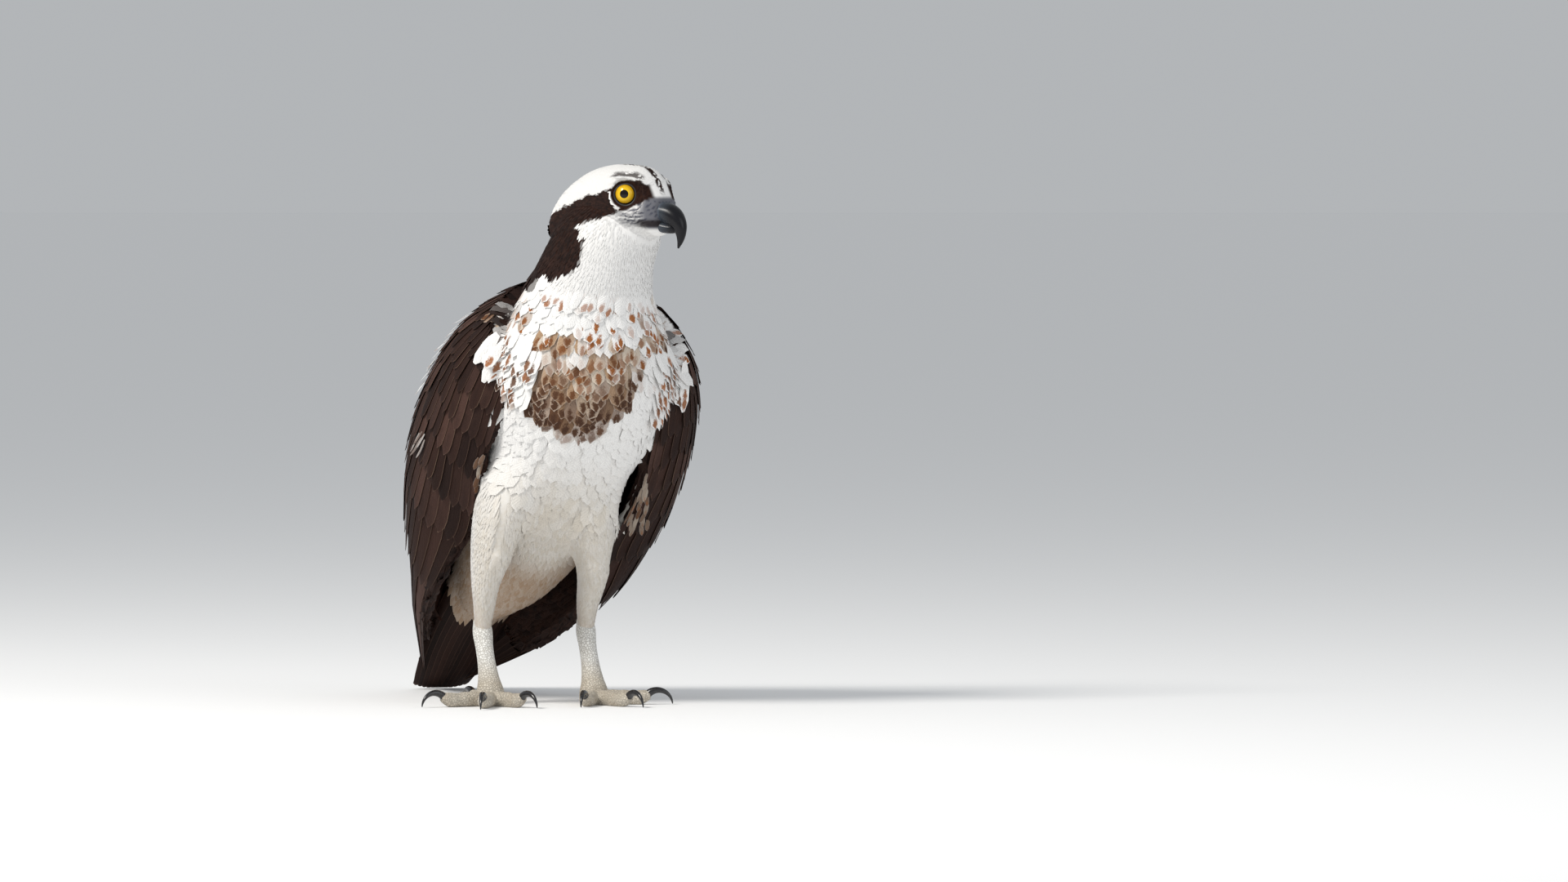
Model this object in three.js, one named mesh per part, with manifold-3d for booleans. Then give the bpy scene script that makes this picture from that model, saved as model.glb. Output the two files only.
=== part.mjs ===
// A life-size osprey that stands on the floor, its weight on both feet and the end of its tail.
// Millimetres, +Z up, the bird's body faces -Y, so its left side is +X.
import * as THREE from "three";
import { mergeVertices } from "three/addons/utils/BufferGeometryUtils.js";
import Module from "manifold-3d";

const wasm = await Module();
wasm.setup();

// Driving sizes
const gap = 0.35; // between neighbouring pieces
const lean = 8.5; // degrees that the body leans to its own left
const footprint = new THREE.Vector2(30, 120); // middle of the outline on the floor, where the origin is

// The trunk from the tail's root to the inside of the head. Each row holds the middle line's y and z,
// the half width, the half depth to the back and to the belly, and the middle line's x.
const trunkRows = [
  [236, 78, 23, 13, 24, 2],
  [206, 99, 34, 21, 40, 3],
  [170, 124, 45, 33, 56, 4],
  [126, 158, 55, 46, 69, 4],
  [82, 192, 60, 59, 71, 2],
  [40, 225, 64, 64, 68, 0],
  [6, 258, 68, 64, 66, 0],
  [-16, 290, 63, 56, 54, -4],
  [-30, 320, 51, 48, 41, -11],
  [-39, 348, 44, 43, 38, -11],
  [-46, 374, 40, 40, 36, -6.5],
  [-50, 398, 22, 22, 20, -2],
];
const tailCut = 0.1; // where the trunk is parted, as a share of its rows
const neckCut = 0.7;
const headCut = 0.86;

// The folded wing, station by station from the shoulder to the tip. A row holds how far along the wing
// it lies, and then pairs: how far outward and how far up across the wing. The pairs are the edge along
// the back, the rear corner, the outermost line, the front corner, the lower edge and the inside.
const wingStart = new THREE.Vector2(-10, 280); // y and z of the wing's bend
const wingSlope = 38.9; // degrees that the wing runs down
const wingRows = [
  [0, 6, 62, 44, 61, 69, 40, 78, 9, 58, -16, 30, 20],
  [40, 6, 67, 64, 61, 95, 30, 94, -13, 61, -38, 30, 12],
  [95, 6, 65, 76, 55, 107, 15, 98, -36, 62, -56, 32, 0],
  [155, 6, 58, 74, 47, 104, 3, 96, -48, 54, -68, 32, -8],
  [215, 6, 48, 62, 35, 88, -7, 86, -53, 60, -70, 36, -14],
  [285, 6, 34, 41, 24, 60, -9, 67, -41, 56, -56, 33, -10],
  [360, 6, 20, 22, 13, 34, -5, 40, -21, 35, -30, 22, -4],
  [440, 4, 12, 7, 10, 10, 6, 11, 3, 9, 1, 7, 6],
];
const wingSolid = [0.5, 0.5, 0.42, 0.3, 0.2, 0.16, 0.16, 0.2]; // thickness as a share of the way inside

// The wing's feathers in tiers. Shares along the wing and across it, first feather to last: where the
// roots lie, where the tips lie, and the places across. The lower tiers come first.
const wingTiers = [
  { name: "primaries", count: 5, from: [0.5, 0.56], to: [0.84, 0.95], across: [0.56, 0.91] },
  { name: "secondaries", count: 5, from: [0.42, 0.5], to: [0.74, 0.82], across: [0.12, 0.5] },
  { name: "greater coverts", count: 6, from: [0.3, 0.4], to: [0.56, 0.66], across: [0.16, 0.84] },
  { name: "median coverts", count: 5, from: [0.17, 0.26], to: [0.41, 0.51], across: [0.26, 0.85] },
  { name: "lesser coverts", count: 4, from: [0.05, 0.11], to: [0.28, 0.34], across: [0.4, 0.82] },
  { name: "lower scapulars", count: 2, from: [0.16, 0.18], to: [0.46, 0.4], across: [0.09, 0.22] },
  { name: "upper scapulars", count: 3, from: [0.02, 0.04], to: [0.26, 0.22], across: [0.09, 0.32] },
];
const vaneThickness = 0.75;
const vaneSink = 3.4; // how deep a root lies under the folded wing's outline
const vaneLift = 0.7; // how far a tip stands out of it
const vaneTilt = 0.8; // how far one edge is raised and the other lowered, so neighbours lie apart
const vaneOverlap = 0.59; // half width as a share of the distance between neighbours
const vaneWidths = [0.8, 1, 0.92, 0.38]; // the width from root to tip
const coreInset = 1.8; // how far the wing's solid core lies under the outline
const tailVanes = 6;
const tailVaneWidths = [0.9, 1, 1, 0.75];
const tailVaneRoot = 0.36; // shares along the tail's rows
const tailVaneTip = 0.98;

// The head's own frame: forward along the bill, to the bird's left, and up.
const headCentre = new THREE.Vector3(0, -52, 390);
const headTurn = 36; // degrees that the head turns to the bird's left
const headRows = [
  [-70, -20, 3, 3, 3],
  [-63, -16, 15, 15, 17],
  [-49, -8, 23, 23, 25],
  [-28, 0, 28, 27, 28],
  [-9, 3, 29.5, 28.5, 29],
  [8, 4, 29.5, 27.5, 29],
  [20, 3, 28.5, 27, 27.5],
  [29, 0, 25, 23, 26],
  [36, -4, 17.5, 15, 21],
  [42, -8, 10, 8, 11],
];
const upperBillRows = [
  [26, -4, 10.5, 7.5],
  [35, -5.4, 10, 7.9],
  [42, -7, 9, 8.1],
  [48, -10.4, 7.5, 7.6],
  [52.3, -15.4, 5.8, 5.9],
  [53.8, -21.3, 4.2, 4.3],
  [53.3, -27.3, 2.5, 2.6],
  [51, -33.4, 0.5, 0.6],
];
const lowerBillRows = [
  [25, -14, 9, 5.5],
  [33, -15.8, 8.6, 5.2],
  [41, -17.6, 7, 4.4],
  [47, -18.4, 5, 3.5],
  [50.6, -18.2, 2.2, 1.8],
];
const eyeRadius = 9.2;
const eyePlace = new THREE.Vector3(12.5, 15.2, 8); // forward, outward and up from the head's centre
const eyeOpening = 7.6; // radius of the part of the eye that shows
const lidThickness = 1.5;
const lidTurn = 60; // degrees from straight ahead that an eye looks outward

// The tail: its middle line from the rump to the tip, with half width and half depths.
const tailRows = [
  [170, 124, 41, 30, 50, 4],
  [192, 107, 36, 24, 43, 3],
  [214, 91, 33, 17, 36, 2],
  [238, 73, 31, 13, 27, 1],
  [262, 54, 29, 8, 17, 0],
  [286, 34, 28, 4, 8, 0],
  [306, 17, 26, 2, 2.5, 0],
  [330, 1.7, 22, 1.6, 1.6, 0],
];

// Legs: the middle lines in the floor's frame. Each row holds x beside the foot, y, z, half width
// and half depth.
const footY = 55;
const legX = { left: 59, right: -23 };
const thighRows = [
  [-20, 32, 216, 6, 10],
  [-15, 32, 190, 19, 29],
  [-9, 38, 164, 24, 35],
  [-5, 46, 142, 22, 33],
  [-1, 56, 120, 17.5, 28],
  [1, 68, 96, 13, 20],
  [0, 77, 76, 10.5, 14.5],
  [0, 82, 58, 8.6, 10.5],
  [0, 82, 46, 6, 7],
];
const tarsusRows = [
  [0, 86, 66, 6, 6],
  [0, 82, 56, 7.6, 8.6],
  [0, 76, 44, 6.8, 7.4],
  [0, 68, 31, 7, 7.2],
  [0, 61, 19, 8.6, 8.6],
  [0, 57, 10, 11, 11],
  [0, 57, 1, 11, 11],
  [0, 57, -8, 8, 8],
];
const thighEnd = 62; // height of the hock, where the feathers of the thigh end
const toeRadius = 6;
const toes = [
  { number: 1, angle: 168, reach: 34, clawRadius: 11.6 },
  { number: 2, angle: -24, reach: 42, clawRadius: 11.2 },
  { number: 3, angle: 20, reach: 50, clawRadius: 11.6 },
  { number: 4, angle: 74, reach: 44, clawRadius: 11.2 },
];
const toeRoot = 9; // where a toe starts, from the middle of the foot
const clawThickness = 3.1;
const clawRise = 50; // degrees above level at a claw's root
const clawSweep = 138; // degrees that a claw bends through

const colours = {
  dark: { color: 0x2a1a15, roughness: 0.75 },
  white: { color: 0xe9e6e2, roughness: 0.8 },
  breast: { color: 0xdcd6cf, roughness: 0.8 },
  bill: { color: 0x1c1d22, roughness: 0.35 },
  claw: { color: 0x17161a, roughness: 0.3 },
  eye: { color: 0xe0b010, roughness: 0.12 },
  skin: { color: 0xc9c6b4, roughness: 0.65 },
};

const radians = THREE.MathUtils.degToRad;
const clamp = THREE.MathUtils.clamp;
const vector = (x, y, z) => new THREE.Vector3(x, y, z);

// The row of sizes at a share of the way through a table, on a smooth curve through its rows.
function rowAt(rows, share) {
  const x = clamp(share, 0, 1) * (rows.length - 1);
  const i = Math.min(Math.floor(x), rows.length - 2);
  const f = x - i;
  const row = (k) => rows[clamp(k, 0, rows.length - 1)];
  return rows[0].map((_, c) => {
    const [a, b, d, e] = [row(i - 1)[c], row(i)[c], row(i + 1)[c], row(i + 2)[c]];
    return b + 0.5 * f * (d - a + f * (2 * a - 5 * b + 4 * d - e + f * (3 * (b - d) + e - a)));
  });
}

// A closed mesh as a solid, turned face out.
function solid(geometry) {
  const bare = new THREE.BufferGeometry().setAttribute("position", geometry.getAttribute("position"));
  bare.setIndex(geometry.index);
  const merged = mergeVertices(bare, 1e-4);
  const at = merged.attributes.position.array;
  const triangles = new Uint32Array(merged.index.array);
  const corner = (i) => vector(at[3 * i], at[3 * i + 1], at[3 * i + 2]);
  let volume = 0;
  for (let i = 0; i < triangles.length; i += 3) {
    const [a, b, c] = [0, 1, 2].map((k) => corner(triangles[i + k]));
    volume += a.dot(b.cross(c));
  }
  if (volume < 0)
    for (let i = 0; i < triangles.length; i += 3)
      [triangles[i + 1], triangles[i + 2]] = [triangles[i + 2], triangles[i + 1]];
  return new wasm.Manifold(new wasm.Mesh({ numProp: 3, vertProperties: at, triVerts: triangles }));
}

// The largest closed surface of a solid, so that no loose scrap stays.
function largest(made) {
  return made.decompose().sort((a, b) => b.volume() - a.volume())[0];
}

function together(forms) {
  return forms.reduce((all, form) => all.add(form));
}

function geometryOf(made) {
  const mesh = made.getMesh();
  return new THREE.BufferGeometry()
    .setAttribute("position", new THREE.BufferAttribute(new Float32Array(mesh.vertProperties), 3))
    .setIndex(new THREE.BufferAttribute(new Uint32Array(mesh.triVerts), 1));
}

// A sphere's grid laid over another form: place(share along, x and y on the ring) gives each vertex.
function ball(around, rings, place) {
  const sphere = new THREE.SphereGeometry(1, around, rings);
  sphere.deleteAttribute("normal");
  sphere.deleteAttribute("uv");
  const geometry = mergeVertices(sphere, 1e-5);
  const at = geometry.attributes.position;
  for (let i = 0; i < at.count; i++) {
    const share = Math.acos(clamp(at.getY(i), -1, 1)) / Math.PI;
    const ring = Math.hypot(at.getX(i), at.getZ(i));
    const [x, y] = ring > 1e-4 ? [at.getX(i) / ring, at.getZ(i) / ring] : [0, 0];
    at.setXYZ(i, ...place(share, x, y).toArray());
  }
  return solid(geometry);
}

// A closed plate with triangles alike on both faces: place(share along, -1 to 1 across, upper face).
function plate(across, along, place) {
  const grid = new THREE.PlaneGeometry(2, 1, across, along);
  const at = grid.attributes.position;
  const points = [true, false].flatMap((upper) =>
    Array.from({ length: at.count }, (_, i) => place(at.getY(i) + 0.5, at.getX(i), upper).toArray()),
  );
  const upperFaces = Array.from(grid.index.array);
  const faces = [...upperFaces];
  for (let i = 0; i < upperFaces.length; i += 3)
    faces.push(...[0, 2, 1].map((k) => upperFaces[i + k] + at.count));
  const corner = (x, y) => x + (across + 1) * y;
  const rim = [];
  for (let x = 0; x < across; x++) rim.push(corner(x, along));
  for (let y = along; y > 0; y--) rim.push(corner(across, y));
  for (let x = across; x > 0; x--) rim.push(corner(x, 0));
  for (let y = 0; y < along; y++) rim.push(corner(0, y));
  rim.forEach((a, i) => {
    const b = rim[(i + 1) % rim.length];
    faces.push(b, a, a + at.count, b, a + at.count, b + at.count);
  });
  const geometry = new THREE.BufferGeometry()
    .setAttribute("position", new THREE.Float32BufferAttribute(points.flat(), 3))
    .setIndex(faces);
  return solid(geometry);
}

// A number from -1 to 1 that is always the same for the same seed.
function vary(seed) {
  return 2 * THREE.MathUtils.seededRandom(seed) - 1;
}

// One feather: place(share along, share across from -1 to 1, height) gives its points.
function vane(place, widths) {
  const table = widths.map((v) => [v]);
  return plate(2, 3, (share, across, upper) => {
    const [width] = rowAt(table, share);
    const along = Math.sqrt(share);
    const reach = along + 0.08 * along ** 2 * (1 - across ** 2);
    const height = -vaneSink + (vaneLift + vaneSink) * along + vaneTilt * across;
    return place(reach, across * width, height + (upper ? vaneThickness : 0));
  });
}

// The middle line of the trunk's or the tail's rows, and its unit normal.
function middle(rows, share) {
  const here = rowAt(rows, share);
  const ahead = rowAt(rows, share + 0.01);
  const behind = rowAt(rows, share - 0.01);
  const along = vector(ahead[5] - behind[5], ahead[0] - behind[0], ahead[1] - behind[1]).normalize();
  const normal = vector(0, along.z, -along.y).normalize();
  return { at: vector(here[5], here[0], here[1]), along, normal, here };
}

// A tapering body of elliptic sections over such rows. The normal points to the back.
function body(rows, around, rings, grow) {
  return ball(around, rings, (share, x, y) => {
    const { at, normal, here } = middle(rows, share);
    const depth = (y > 0 ? here[3] : here[4]) + grow;
    return at.addScaledVector(normal, y * depth).add(vector(x * (here[2] + grow), 0, 0));
  });
}

// The tail twists against the body's lean, so that its end lies level on the floor.
function tailTwist(point, share) {
  return point.add(vector(0, 0, point.x * Math.tan(radians(lean)) * share));
}

function tailForm(grow) {
  return ball(14, 11, (share, x, y) => {
    const { at, normal, here } = middle(tailRows, share);
    const depth = (y > 0 ? here[3] : here[4]) + grow;
    at.addScaledVector(normal, y * depth).add(vector(x * (here[2] + grow), 0, 0));
    return tailTwist(at, share);
  });
}

// The floor as the leaning body meets it.
const floorUp = [-Math.sin(radians(lean)), 0, Math.cos(radians(lean))];

// Keeps what lies past the plane across the trunk at a share of its length, or before it.
function past(made, share, ahead) {
  const { at, along } = middle(trunkRows, share);
  const keep = ahead ? along : along.clone().negate();
  return made.trimByPlane(keep.toArray(), keep.dot(at) + gap / 2);
}

const trunkAround = 20;
const trunkRings = 22;
const trunk = body(trunkRows, trunkAround, trunkRings, 0);
const torso = past(past(trunk, tailCut, true), neckCut, false);
const torsoGrown = body(trunkRows, trunkAround, trunkRings, gap);

// Head parts, made in the head's frame and then turned and carried to their place.
const headFrame = new THREE.Matrix4()
  .makeTranslation(headCentre)
  .multiply(new THREE.Matrix4().makeRotationY(-radians(lean)))
  .multiply(new THREE.Matrix4().makeRotationZ(radians(headTurn)))
  .multiply(new THREE.Matrix4().makeBasis(vector(0, -1, 0), vector(1, 0, 0), vector(0, 0, 1)));

function moved(made, matrix) {
  return solid(geometryOf(made).applyMatrix4(matrix));
}

// A form along the head's forward axis: rows hold forward, up, half width and half height.
function alongHead(rows, around, rings, grow) {
  return ball(around, rings, (share, x, y) => {
    const here = rowAt(rows, share);
    const next = rowAt(rows, share + 0.01);
    const last = rowAt(rows, share - 0.01);
    const run = new THREE.Vector2(next[0] - last[0], next[1] - last[1]).normalize();
    const height = here[3] + grow;
    return vector(here[0] - run.y * y * height, x * (here[2] + grow), here[1] + run.x * y * height);
  });
}

// The skull swells straight up and down, so that its rows stay upright.
function skull(around, rings) {
  return ball(around, rings, (share, x, y) => {
    const [forward, up, width, top, bottom] = rowAt(headRows, share);
    return vector(forward, x * width, up + y * (y > 0 ? top : bottom));
  });
}

function eyeball(side, grow) {
  const at = eyePlace.clone().multiply(vector(1, side, 1));
  return solid(new THREE.SphereGeometry(eyeRadius + grow, 12, 9)).translate(at.toArray());
}

// Carries a form made round the z axis to an eye, so that its z axis is where the eye looks.
function atEye(side, geometry, outward) {
  const look = radians(lidTurn);
  const out = vector(Math.cos(look), side * Math.sin(look), 0);
  geometry.applyQuaternion(new THREE.Quaternion().setFromUnitVectors(vector(0, 0, 1), out));
  const at = eyePlace.clone().multiply(vector(1, side, 1)).addScaledVector(out, outward);
  return solid(geometry.translate(...at.toArray()));
}

const eyeDepth = Math.sqrt(eyeRadius ** 2 - eyeOpening ** 2); // from the eye's centre to its opening
const socketReach = 14;

// The hollow in the face round an eye, and the rim of lid inside it.
function socket(side) {
  const cone = new THREE.CylinderGeometry(eyeOpening * 1.9, eyeOpening, socketReach, 12);
  return atEye(side, cone.rotateX(Math.PI / 2), eyeDepth + socketReach / 2);
}

function lid(side) {
  const ring = new THREE.TorusGeometry(eyeOpening + lidThickness / 2, lidThickness, 4, 12);
  return atEye(side, ring, eyeDepth);
}

// The ridge of the brow, which shades the eye.
function brow(side) {
  const rows = [
    [0, 18, 21, 3, 2.4],
    [8, 18.5, 23.5, 4, 3.2],
    [17, 18.5, 24, 4.2, 3.2],
    [25, 16.5, 22, 4, 3],
    [31, 12, 17, 3.4, 2.6],
  ];
  return ball(6, 6, (share, x, y) => {
    const [forward, up, outward, width, height] = rowAt(rows, share);
    return vector(forward, side * (outward + x * width), up + y * height);
  });
}

const upperBill = alongHead(upperBillRows, 8, 11, 0);
const upperBillGrown = alongHead(upperBillRows, 8, 11, gap);
const lowerBill = alongHead(lowerBillRows, 8, 6, 0);
const lowerBillGrown = alongHead(lowerBillRows, 8, 6, gap);

function nostril(side) {
  const slot = new THREE.CapsuleGeometry(0.9, 3, 3, 8).rotateX(radians(35));
  return solid(slot.translate(40, side * 9, -3.4));
}

const sides = [-1, 1];
const headShape = skull(16, 14)
  .subtract(together(sides.map(socket)))
  .add(together(sides.flatMap((side) => [brow(side), lid(side)])))
  .subtract(upperBillGrown)
  .subtract(lowerBillGrown)
  .subtract(together(sides.map((side) => eyeball(side, gap))));
const head = past(moved(headShape, headFrame).add(trunk), headCut, true)
  .subtract(moved(upperBillGrown.add(lowerBillGrown), headFrame))
  .subtract(moved(eyeball(-1, gap).add(eyeball(1, gap)), headFrame));
const neck = past(past(trunk, neckCut, true), headCut, false).subtract(
  moved(lowerBillGrown, headFrame),
);
// Only the horn past the face shows, so each half of the bill ends inside the head.
const faceDepth = 30;
const billUpper = upperBill
  .trimByPlane([1, 0, 0], faceDepth)
  .subtract(nostril(-1))
  .subtract(nostril(1));
const billLower = lowerBill.subtract(upperBillGrown).trimByPlane([1, 0, 0], faceDepth);

// A point given by how far along, outward and up across the folded wing.
function wingPlace(side, along, outward, up) {
  const run = vector(0, Math.cos(radians(wingSlope)), -Math.sin(radians(wingSlope)));
  const rise = vector(0, -run.z, run.y);
  return vector(side * outward, wingStart.x, wingStart.y)
    .addScaledVector(run, along)
    .addScaledVector(rise, up);
}

// A point of the wing's outer surface, at a share along it and a share from the back to the lower edge.
function wingPoint(side, along, across) {
  const row = rowAt(wingRows, along);
  const guides = [0, 1, 2, 3, 4].map((k) => [row[1 + 2 * k], row[2 + 2 * k]]);
  return wingPlace(side, row[0], ...rowAt(guides, across));
}

// The surface's directions there: along the wing, across it and outward.
function wingFrame(side, along, across) {
  const step = 0.01;
  const at = wingPoint(side, along, across);
  const forward = wingPoint(side, Math.min(along + step, 1), across).sub(
    wingPoint(side, Math.max(along - step, 0), across),
  );
  const sideways = wingPoint(side, along, Math.min(across + step, 1)).sub(
    wingPoint(side, along, Math.max(across - step, 0)),
  );
  forward.normalize();
  sideways.normalize();
  const out = forward.clone().cross(sideways).multiplyScalar(-side).normalize();
  return { at, forward, sideways, out };
}

function wingCore(side) {
  return plate(11, 11, (along, across, upper) => {
    const { at, out } = wingFrame(side, along, (across + 1) / 2);
    at.addScaledVector(out, -coreInset);
    const row = rowAt(wingRows, along);
    const inside = wingPlace(side, row[0], row[11], row[12]);
    const [depth] = rowAt(wingSolid.map((v) => [v]), along);
    return upper ? at : at.lerp(inside, depth);
  });
}

// The tail's feathers lie fanned over its back, the middle one uppermost.
function tailVane(k) {
  const f = (2 * k) / (tailVanes - 1) - 1;
  return vane((along, across, height) => {
    const share = tailVaneRoot + (tailVaneTip - tailVaneRoot - 0.04 * f * f) * along;
    const { at, normal, here } = middle(tailRows, share);
    const x = clamp(f * 0.86 + (across * 1.25) / tailVanes, -0.97, 0.97);
    const rise = Math.sqrt(1 - x * x) * here[3] - Math.abs(f) * along;
    at.addScaledVector(normal, rise + height * 0.6).add(vector(x * here[2], 0, 0));
    return tailTwist(at, share);
  }, tailVaneWidths);
}

const tailWhole = together([tailForm(0), ...Array.from({ length: tailVanes }, (_, k) => tailVane(k))]);
const tailBody = past(tailWhole, tailCut, false).trimByPlane(floorUp, 0);
const tailGrown = tailForm(gap + 3.4);

// Legs stand on the floor, so a leaning form is brought into the floor's frame to meet them.
const leaned = new THREE.Matrix4().makeRotationY(radians(lean));
const unleaned = leaned.clone().invert();
const torsoLeaned = moved(torsoGrown, leaned);

function limb(rows, x, side, grow, around, rings) {
  return ball(around, rings, (share, across, deep) => {
    const here = rowAt(rows, share);
    const next = rowAt(rows, share + 0.01);
    const last = rowAt(rows, share - 0.01);
    const along = vector(0, next[1] - last[1], next[2] - last[2]).normalize();
    const outward = x + side * here[0];
    return vector(outward + across * (here[3] + grow), here[1], here[2]).addScaledVector(
      vector(0, -along.z, along.y),
      deep * (here[4] + grow),
    );
  });
}

const sideName = (side) => (side > 0 ? "left" : "right");

// The feathers of one tier over the folded wing.
function tierVanes(side, tier, order) {
  const mix = (pair, f) => pair[0] + (pair[1] - pair[0]) * f;
  const half = (vaneOverlap * (tier.across[1] - tier.across[0])) / (tier.count - 1);
  return Array.from({ length: tier.count }, (_, k) => {
    const f = k / (tier.count - 1);
    const seed = 17 * order + k;
    const root = mix(tier.from, f) + 0.008 * vary(seed);
    const tip = mix(tier.to, f) + 0.012 * vary(seed + 0.5);
    const middleLine = mix(tier.across, f) + 0.006 * vary(seed + 0.25);
    return vane((along, across, height) => {
      const share = root + (tip - root) * along;
      const { at, out } = wingFrame(side, share, clamp(middleLine + across * half, 0.01, 0.99));
      return at.addScaledVector(out, height);
    }, vaneWidths);
  });
}

// What a wing is kept clear of.
function besideWing(side) {
  const leg = limb(thighRows, legX[sideName(side)], side, gap, 14, 14);
  return torsoGrown.add(tailGrown).add(moved(leg, unleaned));
}

function wing(side) {
  const feathers = wingTiers.flatMap((tier, order) => tierVanes(side, tier, order));
  return largest(together([wingCore(side), ...feathers]).subtract(besideWing(side)));
}

function thigh(x, side) {
  const whole = limb(thighRows, x, side, 0, 14, 14).trimByPlane([0, 0, 1], thighEnd + gap / 2);
  return largest(whole.subtract(torsoLeaned));
}

function tarsus(x, side) {
  const whole = limb(tarsusRows, x, side, 0, 12, 12).trimByPlane([0, 0, -1], -(thighEnd - gap / 2));
  return whole.trimByPlane([0, 0, 1], 0);
}

// A toe's middle line: it leaves the foot, arches over its knuckles and lifts its last joint.
function toeLine(toe, share) {
  const lift = [4.9, 5.6, 5.2, 5.4, 7.2];
  const [z] = rowAt(lift.map((v) => [v]), share);
  return vector(0, -(toeRoot + share * (toe.reach - toeRoot)), z);
}

function toeForm(toe, grow) {
  const thick = [1.04, 1.02, 0.94, 1, 0.9, 0.95, 0.84, 0.5].map((v) => [v * toeRadius]);
  return ball(8, 8, (share, x, y) => {
    const [radius] = rowAt(thick, share);
    const at = toeLine(toe, share);
    return at.add(vector(x * (radius + grow), 0, y * (radius + grow)));
  });
}

function clawForm(toe) {
  const start = toeLine(toe, 1).add(vector(0, 3.4, 0));
  return ball(6, 8, (share, x, y) => {
    const heading = radians(clawRise - clawSweep * share);
    const rise = radians(clawRise);
    const at = vector(
      0,
      start.y - toe.clawRadius * (Math.sin(rise) - Math.sin(heading)),
      start.z + toe.clawRadius * (Math.cos(heading) - Math.cos(rise)),
    );
    const radius = clawThickness * (1 - 0.88 * share ** 1.3);
    const normal = vector(0, Math.sin(heading), Math.cos(heading));
    return at.add(vector(x * radius, 0, 0)).addScaledVector(normal, y * radius);
  });
}

// The toes and claws of one foot, keyed by name, each clear of the foot and of its neighbours.
function footPieces(name, x, side, leg) {
  const pieces = {};
  let taken = leg;
  for (const toe of toes) {
    const turn = new THREE.Matrix4()
      .makeTranslation(x, footY, 0)
      .multiply(new THREE.Matrix4().makeRotationZ(radians(toe.angle) * side));
    const claw = moved(clawForm(toe).subtract(toeForm(toe, gap)), turn);
    const whole = moved(toeForm(toe, 0), turn).trimByPlane([0, 0, 1], 0);
    pieces[`toe_${name}_${toe.number}`] = [largest(whole.subtract(taken)), "skin"];
    pieces[`claw_${name}_${toe.number}`] = [largest(claw.trimByPlane([0, 0, 1], gap)), "claw"];
    taken = taken.add(moved(toeForm(toe, gap), turn));
  }
  return pieces;
}

function legPieces(name, side) {
  const x = legX[name];
  const clear = limb(tarsusRows, x, side, gap, 12, 12);
  return {
    [`thigh_${name}`]: [thigh(x, side), "white"],
    [`tarsus_${name}`]: [tarsus(x, side), "skin"],
    ...footPieces(name, x, side, clear),
  };
}

function meshesOf(pieces) {
  return Object.entries(pieces).map(([name, [made, colour]]) => {
    const mesh = new THREE.Mesh(geometryOf(made), new THREE.MeshStandardMaterial(colours[colour]));
    mesh.name = name;
    return mesh;
  });
}

const headGroup = new THREE.Group();
headGroup.add(
  ...meshesOf({
    bill_upper: [billUpper, "bill"],
    bill_lower: [largest(billLower), "bill"],
    eye_left: [eyeball(1, 0), "eye"],
    eye_right: [eyeball(-1, 0), "eye"],
  }),
);
headGroup.applyMatrix4(headFrame);

const leaningBody = new THREE.Group();
leaningBody.rotation.y = radians(lean);
leaningBody.add(
  headGroup,
  ...meshesOf({
    torso: [largest(torso), "breast"],
    neck: [largest(neck), "white"],
    head: [largest(head), "white"],
    tail: [largest(tailBody), "dark"],
    wing_left: [wing(1), "dark"],
    wing_right: [wing(-1), "dark"],
  }),
);

const osprey = new THREE.Group();
osprey.add(leaningBody, ...meshesOf({ ...legPieces("left", 1), ...legPieces("right", -1) }));
osprey.position.set(-footprint.x, -footprint.y, 0);

export default osprey;
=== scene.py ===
import math

import bmesh
import bpy
import numpy as np
from mathutils import Matrix, Vector
from mathutils.bvhtree import BVHTree


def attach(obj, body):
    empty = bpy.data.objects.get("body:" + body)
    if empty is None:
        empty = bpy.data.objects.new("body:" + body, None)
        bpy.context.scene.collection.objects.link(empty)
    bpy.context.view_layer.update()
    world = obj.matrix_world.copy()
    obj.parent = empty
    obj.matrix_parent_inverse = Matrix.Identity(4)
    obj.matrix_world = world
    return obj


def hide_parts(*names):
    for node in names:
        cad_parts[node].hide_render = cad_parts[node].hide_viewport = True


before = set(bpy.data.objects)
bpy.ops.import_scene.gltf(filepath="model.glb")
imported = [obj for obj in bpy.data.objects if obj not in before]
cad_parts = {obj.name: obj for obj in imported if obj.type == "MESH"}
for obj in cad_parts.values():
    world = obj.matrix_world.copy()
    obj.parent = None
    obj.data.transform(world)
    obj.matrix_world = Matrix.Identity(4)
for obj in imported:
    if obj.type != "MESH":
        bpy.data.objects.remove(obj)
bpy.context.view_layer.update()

# Sizes in millimetres, shared with the solids: the bird faces -Y and its left side is +X.
lean = math.radians(8.5)
footprint = np.array([30.0, 120.0, 0.0])
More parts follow.
